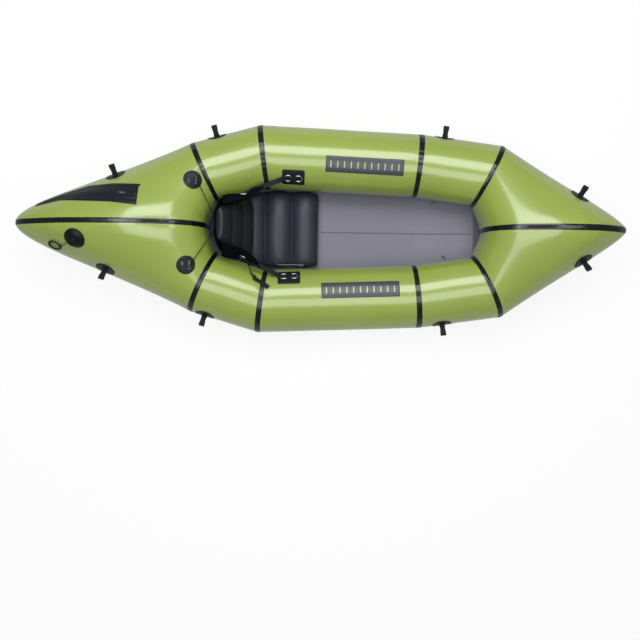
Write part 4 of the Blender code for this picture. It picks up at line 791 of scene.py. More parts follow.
class PACKRAFT_OT_floor(bpy.types.Operator):
    """Make the floor sheet with its flanges, its centre seam and its two lacing loops."""

    bl_idname = "packraft.floor"
    bl_label = "Floor"

    def execute(self, context):
        top = floor_sheet_skin(FLOOR_TOP_LIFT)
        bottom = floor_sheet_skin(FLOOR_UNDERSIDE_LIFT)
        piece = shell("floor_sheet_skin", bottom, top, lattice_faces(*top.shape[:2], closed=False), "floor")
        settle(piece, "hull", "floor", "floor_sheet")
        self.make_details(piece)
        return {"FINISHED"}

    def make_details(self, floor):
        """The sewn line down the middle of the floor and two small lacing loops at its edges."""
        first, last = FLOOR_SEAM_ENDS
        line = pad_line(floor, (first, 0, SKY), (last, 0, SKY), 60, GAP)
        places = [place for place, _ in line]
        seam = band("floor_centre_seam", places, ACROSS, FLOOR_SEAM_WIDTH, 0.0008, "crease")
        settle(seam, "hull", "floor")
        for number, (x, y, turn) in enumerate(FLOOR_LOOPS):
            way = Vector((math.cos(math.radians(turn)), math.sin(math.radians(turn)), 0))
            base = pad_line(floor, (x, y, SKY), (x, y, SKY), 1, 0.0)[0][0]
            path = []
            for k in range(17):
                angle = math.pi * k / 16
                rise = UP * (FLOOR_LOOP_HEIGHT * math.sin(angle))
                path.append(base + way * (FLOOR_LOOP_REACH * math.cos(angle)) + rise)
            settle(rod(f"floor_lacing_loop_{number}", path, 0.0017, "cord", 10), "hull", "cord")


# Helpers for pieces on the hull

JOINTS = {joint["name"]: joint for joint in frame["joints"]}
PATCH_LIFT = 0.00105
PATCH_THICKNESS = 0.0012
PATCH_TOP = PATCH_LIFT + PATCH_THICKNESS
SHEET_SINK = 0.0002
THROAT_X = -0.498
STERN_TIP_X = -HULL_LENGTH / 2
SKY = 0.87


@lru_cache(maxsize=None)
def skin_tree():
    """The visible hull skin as one surface to lay pieces on."""
    angles = turns(HULL_COLUMNS)
    points, faces = [], []
    for name, zone in ZONES.items():
        rows = CONE_ROWS if isinstance(zone, ConeZone) else TUBE_ROWS
        for side in SIDES.values():
            grid = skin_grid(name, side, angles, share_lattice(angles, rows))[0]
            start = len(points)
            points += [Vector(p) for p in grid.reshape(-1, 3)]
            quads = lattice_faces(rows + 1, len(angles), closed=True)
            faces += [tuple(start + k for k in quad) for quad in quads]
    return BVHTree.FromPolygons(points, faces)


class Spot:
    """A place on the hull: its point, the way out and two directions along the skin."""

    def __init__(self, point, out, along):
        self.point = point
        self.out = out
        self.along = (along - out * along.dot(out)).normalized()
        self.across = self.out.cross(self.along)

    @classmethod
    def seen(cls, start, towards, along):
        hit, normal = skin_tree().ray_cast(start, towards)[:2]
        return cls(hit, normal if normal.dot(towards) < 0 else -normal, along)

    @classmethod
    def deck(cls, x, y, along=AHEAD):
        return cls.seen(Vector((x, y, SKY)), -UP, along)

    @classmethod
    def near(cls, place, along):
        hit, normal = skin_tree().find_nearest(place)[:2]
        return cls(hit, normal if normal.dot(place - hit) > 0 else -normal, along)

    def lay(self, a, b, lift):
        start = self.point + self.along * a + self.across * b + self.out * TUBE_RADIUS
        hit, normal = skin_tree().ray_cast(start, -self.out)[:2]
        if normal.dot(self.out) < 0:
            normal = -normal
        return hit + normal * lift

    def stand(self, a, b, height):
        return self.point + self.along * a + self.across * b + self.out * height


def laid_sheet(name, spot, flat, faces, raised, finish):
    """A sheet on the hull: flat places, and the height of each one's upper side over the lift."""
    outer = [spot.lay(a, b, PATCH_LIFT + h) for (a, b), h in zip(flat, raised)]
    inner = [spot.lay(a, b, PATCH_LIFT - SHEET_SINK) for a, b in flat]
    return shell(name, outer, inner, faces, finish)


def glued_patch(name, ending, spot, lattice):
    """A fabric patch on the hull that stands for a packed one."""
    flat, faces, full = lattice
    raised = [PATCH_THICKNESS * f for f in full]
    settle(laid_sheet(f"{name}_{ending}", spot, flat, faces, raised, "patch"), "hull", "patch", name)


def disc_lattice(radius, rings=7, sides=56, soft=0.0015):
    """A disc: its places, faces and how near each place is to full height."""
    flat = [(0.0, 0.0)]
    full = [1.0]
    for i in range(1, rings + 1):
        inset = soft * (rings - i) / 2 if i >= rings - 2 else (radius - soft) * (1 - i / (rings - 2))
        reach = radius - inset
        flat += [(reach * math.cos(turn), reach * math.sin(turn)) for turn in turns(sides)]
        full += [(1.0, 0.75, 0.15)[max(0, i - rings + 2)]] * sides
    faces = [(0, 1 + k, 1 + (k + 1) % sides) for k in range(sides)]
    for i in range(rings - 1):
        for k in range(sides):
            n = (k + 1) % sides
            a, b = 1 + i * sides, 1 + (i + 1) * sides
            faces.append((a + k, b + k, b + n, a + n))
    return flat, faces, full


def plate_lattice(length, width, corner, columns=40, rows=22):
    """A plate with round corners: its places, faces and how near each place is to full height."""
    flat, full = [], []
    for i in range(columns + 1):
        for j in range(rows + 1):
            u, v = 2 * i / columns - 1, 2 * j / rows - 1
            a, b = u * length / 2, v * width / 2
            core_a, core_b = length / 2 - corner, width / 2 - corner
            if abs(a) > core_a and abs(b) > core_b:
                over_a, over_b = (abs(a) - core_a) / corner, (abs(b) - core_b) / corner
                most = max(over_a, over_b)
                reach = math.hypot(over_a, over_b)
                a = math.copysign(core_a + corner * over_a * most / reach, a)
                b = math.copysign(core_b + corner * over_b * most / reach, b)
            flat.append((a, b))
            edge = min(columns - abs(2 * i - columns), rows - abs(2 * j - rows)) / 2
            full.append(min(1.0, 0.2 + 0.8 * edge))
    return flat, lattice_faces(columns + 1, rows + 1, closed=False), full


def through(points, steps):
    """A smooth path through places, with a number of steps between each two."""
    points = [Vector(p) for p in points]
    padded = [points[0] * 2 - points[1]] + points + [points[-1] * 2 - points[-2]]
    path = []
    for i in range(len(points) - 1):
        path += [catmull_rom(padded[i:i + 4], k / steps) for k in range(steps)]
    path.append(points[-1])
    return path


def bar(name, rings, finish, closed=False, sharp=50):
    """A closed bar through rings of points, with flat ends unless it runs round."""
    count, rows = len(rings[0]), len(rings)
    faces = lattice_faces(rows, count, closed=True)
    last = (rows - 1) * count
    if closed:
        faces += [(last + k, last + (k + 1) % count, (k + 1) % count, k) for k in range(count)]
    else:
        faces += [tuple(range(count)), tuple(range(last, last + count))]
    piece = turn_out(add_piece(name, [p for ring in rings for p in ring], faces, finish))
    piece.data.set_sharp_from_angle(angle=math.radians(sharp))
    return piece


def tangents(path, closed):
    """The way along a path at each of its places."""
    count = len(path)
    ways = []
    for i in range(count):
        ahead = path[(i + 1) % count] if closed else path[min(i + 1, count - 1)]
        behind = path[i - 1] if closed else path[max(i - 1, 0)]
        ways.append((ahead - behind).normalized())
    return ways


def wire_rings(path, radius, sides):
    """Rings of points round a path, kept from twisting. The radius may change along it."""
    rings = []
    ways = tangents(path, closed=False)
    side = ways[0].orthogonal().normalized()
    for i, (place, along) in enumerate(zip(path, ways)):
        side = (side - along * side.dot(along)).normalized()
        other = along.cross(side)
        size = radius(i / (len(path) - 1)) if callable(radius) else radius
        rings.append(circle(place, side, other, size, sides))
    return rings


def rod(name, path, radius, finish, sides=12):
    """A round rod along a path."""
    return bar(name, wire_rings(path, radius, sides), finish)


def hoop(name, path, radius, normal, finish, sides=14):
    """A round rod along a closed path that lies in one plane."""
    rings = []
    for place, along in zip(path, tangents(path, closed=True)):
        rings.append(circle(place, along.cross(normal).normalized(), normal, radius, sides))
    return bar(name, rings, finish, closed=True)


BAND_SOFT_SHARE = 0.45


def band_rings(path, acrosses, widths, thickness, closed=False):
    """Rings of points of a flat band with soft edges along a path."""
    rings = []
    for place, along, across, width in zip(path, tangents(path, closed), acrosses, widths):
        across = (across - along * across.dot(along)).normalized()
        up = along.cross(across)
        half, thick = width / 2, thickness / 2
        inset = half - thickness * BAND_SOFT_SHARE
        upper = [(b, thick) for b in (-inset, -half * 0.5, 0, half * 0.5, inset)]
        shape = upper + [(half, 0)] + [(b, -h) for b, h in reversed(upper)] + [(-half, 0)]
        rings.append([place + across * a + up * h for a, h in shape])
    return rings


def band(name, path, across, width, thickness, finish, closed=False):
    """A webbing band along a path. Its width and its crosswise direction may be lists."""
    count = len(path)
    acrosses = across if isinstance(across, list) else [across] * count
    widths = width if isinstance(width, list) else [width] * count
    return bar(name, band_rings(path, acrosses, widths, thickness, closed), finish, closed)


# Repeats along a line: stitches, teeth and grip ribs

@lru_cache(maxsize=None)
def repeat_tree():
    """A tree that sets copies of a unit along lines, turned to the line and its upward attribute."""
    tree = bpy.data.node_groups.new("repeat_along", "GeometryNodeTree")
    sockets = {
        "Lines": "NodeSocketGeometry", "Spacing": "NodeSocketFloat", "Unit": "NodeSocketObject",
        "Finish": "NodeSocketMaterial",
    }
    for name, kind in sockets.items():
        tree.interface.new_socket(name=name, in_out="INPUT", socket_type=kind)
    tree.interface.new_socket(name="Geometry", in_out="OUTPUT", socket_type="NodeSocketGeometry")
    kinds = (
        "NodeGroupInput", "NodeGroupOutput", "GeometryNodeMeshToCurve", "GeometryNodeResampleCurve",
        "GeometryNodeInputNamedAttribute", "GeometryNodeInputTangent", "FunctionNodeAxesToRotation",
        "GeometryNodeObjectInfo", "GeometryNodeInstanceOnPoints", "GeometryNodeRealizeInstances",
        "GeometryNodeSetMaterial",
    )
    enter, leave, curve, steps, upward, along, turn, unit, place, solid, paint = map(tree.nodes.new, kinds)
    steps.mode = "LENGTH"
    upward.data_type = "FLOAT_VECTOR"
    upward.inputs["Name"].default_value = "upward"
    turn.primary_axis = "X"
    turn.secondary_axis = "Z"
    wires = (
        (enter, "Lines", curve, "Mesh"), (curve, "Curve", steps, "Curve"),
        (enter, "Spacing", steps, "Length"), (along, "Tangent", turn, "Primary Axis"),
        (upward, "Attribute", turn, "Secondary Axis"), (enter, "Unit", unit, "Object"),
        (steps, "Curve", place, "Points"), (unit, "Geometry", place, "Instance"),
        (turn, "Rotation", place, "Rotation"), (place, "Instances", solid, "Geometry"),
        (solid, "Geometry", paint, "Geometry"), (enter, "Finish", paint, "Material"),
        (paint, "Geometry", leave, "Geometry"),
    )
    for source, output, target, entry in wires:
        tree.links.new(source.outputs[output], target.inputs[entry])
    return tree


def unit_lump(name, size):
    """A small rounded lump to repeat, with its longest way along X."""
    shape = bmesh.new()
    bmesh.ops.create_uvsphere(shape, u_segments=6, v_segments=4, radius=0.5)
    bmesh.ops.rotate(shape, verts=shape.verts, matrix=Matrix.Rotation(math.pi / 2, 3, "Y"))
    bmesh.ops.scale(shape, verts=shape.verts, vec=size)
    mesh = bpy.data.meshes.new(name)
    shape.to_mesh(mesh)
    shape.free()
    mesh.shade_smooth()
    return add_object(name, mesh)


def repeated(name, lines, spacing, size, finish, body, slot):
    """Copies of a small lump along lines of (place, upward), as one mesh on one body."""
    mesh = bpy.data.meshes.new(name)
    points, edges, ups = [], [], []
    for line in lines:
        start = len(points)
        for place, up in line:
            points.append(tuple(place))
            ups += list(up)
        edges += [(start + k, start + k + 1) for k in range(len(line) - 1)]
    mesh.from_pydata(points, edges, [])
    mesh.attributes.new("upward", "FLOAT_VECTOR", "POINT").data.foreach_set("vector", ups)
    guide = add_object(name + "_guide", mesh)
    unit = unit_lump(name + "_unit", size)
    tree = repeat_tree()
    change = guide.modifiers.new("repeat", "NODES")
    change.node_group = tree
    values = {"Spacing": spacing, "Unit": unit, "Finish": material(finish)}
    for item in tree.interface.items_tree:
        if item.item_type == "SOCKET" and item.in_out == "INPUT" and item.name in values:
            change[item.identifier] = values[item.name]
    context = bpy.context.evaluated_depsgraph_get()
    final = bpy.data.meshes.new_from_object(guide.evaluated_get(context))
    piece = add_object(name, final)
    for spare in (guide, unit):
        bpy.data.objects.remove(spare)
    final.name = name
    final.shade_smooth()
    return settle(piece, body, slot)


STITCH_SIZE = (0.0030, 0.0009, 0.0008)
STITCH_SPACING = 0.0042


def box_line(spot, length, width, height, centre=(0.0, 0.0)):
    """A sewn box with a cross, on a place of the hull."""
    a, b = length / 2, width / 2
    corners = [(-a, -b), (a, -b), (a, b), (-a, b), (-a, -b), (a, b)]
    lines = [corners, [(-a, b), (a, -b)]]
    return [[(spot.stand(centre[0] + x, centre[1] + y, height), spot.out) for x, y in line] for line in lines]


# Grab loops

GRAB_PATCH_RADIUS = 0.044
GRAB_LOOP_LENGTH = 0.050
GRAB_LOOP_ROOT = 0.003
WEBBING_WIDTH = 0.025
WEBBING_THICKNESS = 0.0016
LOOP_STEPS = 40
GRAB_NECK = 0.16
GRAB_FOOT = ((0.0085, 0.0006), (0.012, 0.0007), (0.016, 0.0007), (0.020, 0.0007))
GRAB_FOOT_THICKNESS = 0.0013


def loop_path(root, out, across):
    """The middle line of a folded webbing loop: pinched at its root and full at its end."""
    path, widths = [], []
    for k in range(LOOP_STEPS + 1):
        turn = 2 * math.pi * k / LOOP_STEPS
        share = (1 - math.cos(turn)) / 2
        reach = (GRAB_LOOP_LENGTH - WEBBING_THICKNESS) * share
        swell = math.sin(turn) * (0.0018 + 0.0052 * share) + 0.0010 * math.cos(turn / 2)
        path.append(root + out * reach + across * swell)
        widths.append(WEBBING_WIDTH * (1 - GRAB_NECK * math.exp(-((share - 0.40) / 0.24) ** 2)))
    return path, widths


class PACKRAFT_OT_grab_loops(bpy.types.Operator):
    """Make the eight round patches and the webbing loops sewn to them."""

    bl_idname = "packraft.grab_loops"
    bl_label = "Grab loops"

    def execute(self, context):
        stitches = []
        for name, joint in JOINTS.items():
            if not name.startswith("grab_loop_swing_"):
                continue
            word = name[len("grab_loop_swing_"):]
            place, axis = Vector(joint["pos_m"]), Vector(joint["axis"]).normalized()
            spot = Spot.near(place, axis)
            glued_patch(f"grab_patch_{word}", "disc", spot, disc_lattice(GRAB_PATCH_RADIUS))
            root = place - spot.out * GRAB_LOOP_ROOT
            path, widths = loop_path(root, spot.out, spot.across)
            loop = band(f"grab_loop_{word}_webbing", path, spot.along, widths, WEBBING_THICKNESS, "webbing")
            settle(loop, f"grab_loop_{word}", "webbing", f"grab_loop_{word}")
            for number, sense in enumerate((-1, 1)):
                foot = through([spot.lay(0, sense * b, PATCH_TOP + h) for b, h in GRAB_FOOT], 3)
                leg = band(
                    f"grab_foot_{word}_{number}", foot, spot.along, WEBBING_WIDTH, GRAB_FOOT_THICKNESS,
                    "webbing")
                settle(leg, "hull", "webbing")
                stitches += box_line(spot, 0.019, 0.008, PATCH_TOP + 0.0012, (0.0, sense * 0.0142))
        repeated(
            "grab_patch_stitches", stitches, STITCH_SPACING, STITCH_SIZE, "stitch", "hull", "webbing")
        return {"FINISHED"}


# Tie patches

TIE_PATCH_RADIUS = 0.041
TIE_PLACES = {"left": (THROAT_X - 0.053, 0.189), "right": (THROAT_X - 0.076, -0.1786)}
TIE_BAR_SPAN = 0.024
TIE_BAR_WIDTH = 0.010
TIE_BAR_HEIGHT = 0.005
TIE_BAR_SPACING = 0.030
TIE_BAR_FOOT = 0.006
TIE_BAR_THICKNESS = 0.0013
TIE_STITCH_SPACING = 0.0030
TIE_STITCH_SIZE = (0.0022, 0.0009, 0.0008)


class PACKRAFT_OT_tie_patches(bpy.types.Operator):
    """Make the two deck patches and the moulded bridges on them."""

    bl_idname = "packraft.tie_patches"
    bl_label = "Tie patches"

    def execute(self, context):
        stitches = []
        for word, (x, y) in TIE_PLACES.items():
            spot = Spot.deck(x, y)
            glued_patch(f"tie_patch_{word}", "disc", spot, disc_lattice(TIE_PATCH_RADIUS))
            half = TIE_BAR_SPAN / 2
            rise = ((half + TIE_BAR_FOOT, 0.0006), (half, 0.0008), (half * 0.6, TIE_BAR_HEIGHT - 0.0012))
            arch = [(-b, h) for b, h in rise] + [(0, TIE_BAR_HEIGHT - 0.0006)] + [*reversed(rise)]
            for number, sense in enumerate((-1, 1)):
                a = sense * TIE_BAR_SPACING / 2
                path = through([spot.lay(a, b, PATCH_TOP + h) for b, h in arch], 6)
                bridge = band(
                    f"tie_bridge_{word}_{number}", path, spot.along, TIE_BAR_WIDTH, TIE_BAR_THICKNESS,
                    "gloss")
                settle(bridge, "hull", "webbing")
                for end in (-1, 1):
                    b = end * (half + TIE_BAR_FOOT / 2)
                    places = [spot.lay(a + s, b, PATCH_TOP + TIE_BAR_THICKNESS) for s in (-0.0038, 0.0038)]
                    stitches.append([(place, spot.out) for place in places])
        repeated(
            "tie_patch_stitches", stitches, TIE_STITCH_SPACING, TIE_STITCH_SIZE, "stitch", "hull", "webbing")
        return {"FINISHED"}


# Ring patches

RING_PATCH_LENGTH = 0.100
RING_PATCH_WIDTH = 0.080
RING_PATCH_CORNER = 0.009
D_RING_WIDTH = 0.033
D_RING_WIRE = 0.0034
D_RING_BOW = 0.027
D_RING_SPACING = 0.024
TAB_WIDTH = 0.015
TAB_WALL = 0.0014
TAB_PLAY = 0.0004
RING_HEM = 0.006
RING_HEM_STEPS = 10
RING_STITCH_SPACING = 0.0034
RING_STITCH_SIZE = (0.0026, 0.0008, 0.0007)


def ring_places(word):
    """The middles of one side's aft and fore ring bars."""
    return [Vector(JOINTS[f"d_ring_{place}_{word}_hinge"]["pos_m"]) for place in ("aft", "fore")]


class PACKRAFT_OT_rings(bpy.types.Operator):
    """Make the square patches by the seat, their webbing tabs and the four wire rings."""

    bl_idname = "packraft.rings"
    bl_label = "Ring patches"

    def execute(self, context):
        stitches = []
        for word in SIDES:
            aft, fore = ring_places(word)
            middle = (aft + fore) / 2
            spot = Spot.near(middle, (fore - aft).normalized())
            plate = plate_lattice(RING_PATCH_LENGTH, RING_PATCH_WIDTH, RING_PATCH_CORNER)
            glued_patch(f"ring_patch_{word}", "plate", spot, plate)
            self.make_tab(word, spot, middle)
            self.make_ring(f"d_ring_aft_{word}", spot, aft, -1)
            self.make_ring(f"d_ring_fore_{word}", spot, fore, 1)
            a, b = RING_PATCH_LENGTH / 2 - RING_HEM, RING_PATCH_WIDTH / 2 - RING_HEM
            corners = [(-a, -b), (a, -b), (a, b), (-a, b), (-a, -b)]
            line = []
            for (a0, b0), (a1, b1) in zip(corners, corners[1:]):
                for k in range(RING_HEM_STEPS):
                    a, b = a0 + (a1 - a0) * k / RING_HEM_STEPS, b0 + (b1 - b0) * k / RING_HEM_STEPS
                    line.append((spot.lay(a, b, PATCH_TOP + 0.0001), spot.out))
            stitches.append(line)
            for a in (-0.004, 0.0, 0.004):
                top = (middle - spot.point).dot(spot.out) + 0.0002
                stitches.append([(spot.stand(a, b, top), spot.out) for b in (-0.0062, 0.0062)])
        repeated(
            "ring_patch_stitches", stitches, RING_STITCH_SPACING, RING_STITCH_SIZE, "stitch", "hull",
            "webbing")
        return {"FINISHED"}

    def make_tab(self, word, spot, middle):
        """A webbing tab wrapped round both rings' bars and sewn together between them."""
        half = D_RING_SPACING / 2
        reach = D_RING_WIRE / 2 + TAB_PLAY + TAB_WALL / 2
        places = []
        for k in range(9):
            turn = math.radians(60 + 240 * k / 8)
            places.append((-half + reach * math.cos(turn), reach * math.sin(turn)))
        places += [(-half * 0.45, -0.0012), (0.0, -0.0010), (half * 0.45, -0.0012)]
        for k in range(9):
            turn = math.radians(-120 + 240 * k / 8)
            places.append((half + reach * math.cos(turn), reach * math.sin(turn)))
        places += [(half * 0.45, 0.0006), (0.0, 0.0004), (-half * 0.45, 0.0006)]
        path = [middle + spot.along * a + spot.out * h for a, h in places]
        tab = band(f"ring_tab_{word}", path, spot.across, TAB_WIDTH, TAB_WALL, "webbing", closed=True)
        settle(tab, "hull", "webbing")

    def make_ring(self, name, spot, place, sense):
        """A bent wire ring with one straight side."""
        radius = (D_RING_WIDTH - D_RING_WIRE) / 2
        straight = D_RING_BOW - radius
        outline = [(0.0, radius * s) for s in (-0.80, -0.4, 0.0, 0.4, 0.80)]
        outline += [(0.0012, radius * 0.95), (0.0045, radius)]
        for k in range(25):
            turn = math.pi * k / 24
            outline.append((straight + radius * math.sin(turn), radius * math.cos(turn)))
        outline += [(0.0045, -radius), (0.0012, -radius * 0.95)]
        path = [place + spot.along * (sense * a) + spot.across * b for a, b in outline]
        settle(hoop(name + "_wire", path, D_RING_WIRE / 2, spot.out, "steel"), name, "steel", name)


# Lash strips

LASH_STRIP_LENGTH = 0.342
LASH_STRIP_WIDTH = 0.070
LASH_STRIP_ANGLE = math.radians(14.5)
LASH_STRIP_X = {"left": 0.192, "right": 0.181}
LASH_STRIP_THICKNESS = 0.0018
LASH_SLOTS = 11
LASH_SLOT_LENGTH = 0.030
LASH_SLOT_WIDTH = 0.006
LASH_SLOT_PITCH = 0.0297
LASH_SLOT_RIM = 0.0016
LASH_HEM = 0.004


def lash_spot(word):
    """Where a lash strip lies on its tube."""
    side = SIDES[word]
    zone = ZONES["mid_tube"]
    run = zone.last.centre - zone.first.centre
    centre = zone.first.centre + run * ((LASH_STRIP_X[word] - zone.first.centre.x) / run.x)
    centre.y *= side
    along = Vector((run.x, run.y * side, 0)).normalized()
    out = UP * math.cos(LASH_STRIP_ANGLE) - Vector((0, side, 0)) * math.sin(LASH_STRIP_ANGLE)
    return Spot.seen(centre + out * TUBE_RADIUS * 2, -out, along)


class PACKRAFT_OT_lash_strips(bpy.types.Operator):
    """Make the two slotted strips along the tubes, with raised slot rims and sewn edges."""

    bl_idname = "packraft.lash_strips"
    bl_label = "Lash strips"

    def execute(self, context):
        half, side = LASH_STRIP_LENGTH / 2, LASH_STRIP_WIDTH / 2
        first = -LASH_SLOT_PITCH * (LASH_SLOTS - 1) / 2
        rim, slot = LASH_SLOT_RIM, LASH_SLOT_LENGTH / 2
        stops = [(-half, 0.2, False), (-half + 0.0015, 0.9, False), (-half + 0.006, 1.0, False)]
        for k in range(LASH_SLOTS):
            middle = first + k * LASH_SLOT_PITCH
            edge = LASH_SLOT_WIDTH / 2
            stops += [
                (middle - edge - 2 * rim, 0.85, False), (middle - edge - rim, 1.1, False),
                (middle - edge, 0.95, True), (middle + edge, 0.95, False),
                (middle + edge + rim, 1.1, False), (middle + edge + 2 * rim, 0.85, False),
            ]
            if k < LASH_SLOTS - 1:
                stops.append((middle + LASH_SLOT_PITCH / 2, 0.8, False))
        stops += [(half - 0.006, 1.0, False), (half - 0.0015, 0.9, False), (half, 0.2, False)]
        lines = [
            (-side, 0.2), (-side + 0.0015, 0.9), (-side + 0.006, 1.0), (-slot - 2 * rim, 0.9), (-slot, 1.0),
            (-slot / 2, 1.0), (0.0, 1.0), (slot / 2, 1.0), (slot, 1.0), (slot + 2 * rim, 0.9),
            (side - 0.006, 1.0), (side - 0.0015, 0.9), (side, 0.2),
        ]
        columns = len(lines)
        slot_rows = (4, 5, 6, 7)
        stitches = []
        for word in SIDES:
            spot = lash_spot(word)
            flat = [(a, b) for a, _, _ in stops for b, _ in lines]
            raised = [LASH_STRIP_THICKNESS * min(g, h) for _, g, _ in stops for _, h in lines]
            faces = []
            for i, (_, _, opens) in enumerate(stops[:-1]):
                for j in range(columns - 1):
                    if not (opens and j in slot_rows):
                        a = i * columns + j
                        faces.append((a, a + columns, a + columns + 1, a + 1))
            strip = laid_sheet(f"lash_strip_{word}_band", spot, flat, faces, raised, "strip")
            settle(strip, "hull", "strip", f"lash_strip_{word}")
            for b in (LASH_HEM - side, side - LASH_HEM):
                line = []
                for k in range(41):
                    a = LASH_HEM - half + (LASH_STRIP_LENGTH - 2 * LASH_HEM) * k / 40
                    line.append((spot.lay(a, b, PATCH_LIFT + LASH_STRIP_THICKNESS), spot.out))
                stitches.append(line)
        repeated(
            "lash_strip_stitches", stitches, STITCH_SPACING, STITCH_SIZE, "stitch", "hull", "strip")
        return {"FINISHED"}


# Inflation valve and its tether ring

VALVE_SIDES = 72
VALVE_GRIPS = 24
VALVE_PROFILE = (
    (0.0195, 0.0008, 1), (0.0330, 0.0006, 1), (0.0452, 0.0004, 1), (0.0464, 0.0010, 1), (0.0465, 0.0017, 1),
    (0.0458, 0.0024, 1), (0.0440, 0.0027, 1), (0.0422, 0.0022, 1), (0.0408, 0.0029, 1), (0.0380, 0.0041, 1),
    (0.0350, 0.0055, 1), (0.0320, 0.0068, 0.9), (0.0290, 0.0080, 0.7), (0.0262, 0.0088, 0.45),
    (0.0236, 0.0093, 0.2), (0.0214, 0.0096, 0), (0.0206, 0.0104, 0), (0.0204, 0.0116, 0), (0.0196, 0.0122, 0),
    (0.0190, 0.0130, 0), (0.0190, 0.0190, 0), (0.0190, 0.0250, 0), (0.0184, 0.0259, 0), (0.0162, 0.0259, 0),
    (0.0155, 0.0250, 0), (0.0155, 0.0100, 0), (0.0155, -0.0040, 0), (0.0115, -0.0042, 0),
    (0.0115, -0.0058, 0), (0.0155, -0.0060, 0), (0.0155, -0.0158, 0), (0.0188, -0.0158, 0),
    (0.0190, -0.0040, 0),
)
CAP_PROFILE = (
    (0.0001, 0.0264, 0), (0.0120, 0.0264, 0), (0.0193, 0.0264, 0), (0.0193, 0.0160, 0), (0.0200, 0.0154, 0),
    (0.0217, 0.0154, 0), (0.0224, 0.0160, 0.6), (0.0225, 0.0172, 1), (0.0225, 0.0215, 1), (0.0225, 0.0258, 1),
    (0.0222, 0.0274, 0.6), (0.0212, 0.0283, 0), (0.0190, 0.0286, 0), (0.0165, 0.0282, 0), (0.0145, 0.0286, 0),
    (0.0133, 0.0298, 0), (0.0129, 0.0312, 0), (0.0127, 0.0345, 0), (0.0124, 0.0366, 0), (0.0116, 0.0379, 0),
    (0.0100, 0.0384, 0), (0.0060, 0.0383, 0), (0.0001, 0.0382, 0),
)
GRIP_DEPTH = 0.0011
FLANGE_LIFT = 0.0004
EYE_HEIGHT = 0.0423
EYE_RADIUS = 0.0056
EYE_WIRE = 0.0030
FLANGE_RIBS = 10
FLANGE_RIB_REACH = (0.0250, 0.0385)
FLANGE_RIB_SIZE = (0.0030, 0.0015, 0.0012)
TETHER_RING_PLACE = (-1.142, -0.098)
TETHER_HALF_LENGTH = 0.0275
TETHER_HALF_WIDTH = 0.0235
TETHER_WIRE = 0.0078
TETHER_REST = 0.0012
TETHER_CORD = 0.003
COLLAR_HEIGHT = 0.0114
COLLAR_RADIUS = 0.0213
KNOT_RADIUS = 0.0026


def joint_spot(name, along):
    """A frame at a joint, with its axis as the way out."""
    joint = JOINTS[name]
    return Spot(Vector(joint["pos_m"]), Vector(joint["axis"]).normalized(), along)


def revolved(name, spot, profile, finish, grips=0):
    """A profile of (radius, height, share) turned about a frame.

    Without grips the share says how far a point follows the hull, and with them how deep it is notched.
    """
    rings = []
    for radius, height, share in profile:
        ring = []
        for turn in turns(VALVE_SIDES):
            reach = radius
            if grips:
                reach -= share * GRIP_DEPTH * max(0.0, math.cos(turn * grips)) ** 0.5
            a, b = reach * math.cos(turn), reach * math.sin(turn)
            place = spot.stand(a, b, height)
            if share and not grips:
                place = place.lerp(spot.lay(a, b, height + FLANGE_LIFT), share)
            ring.append(place)
        rings.append(ring)
    return bar(name, rings, finish, closed=not grips, sharp=42)


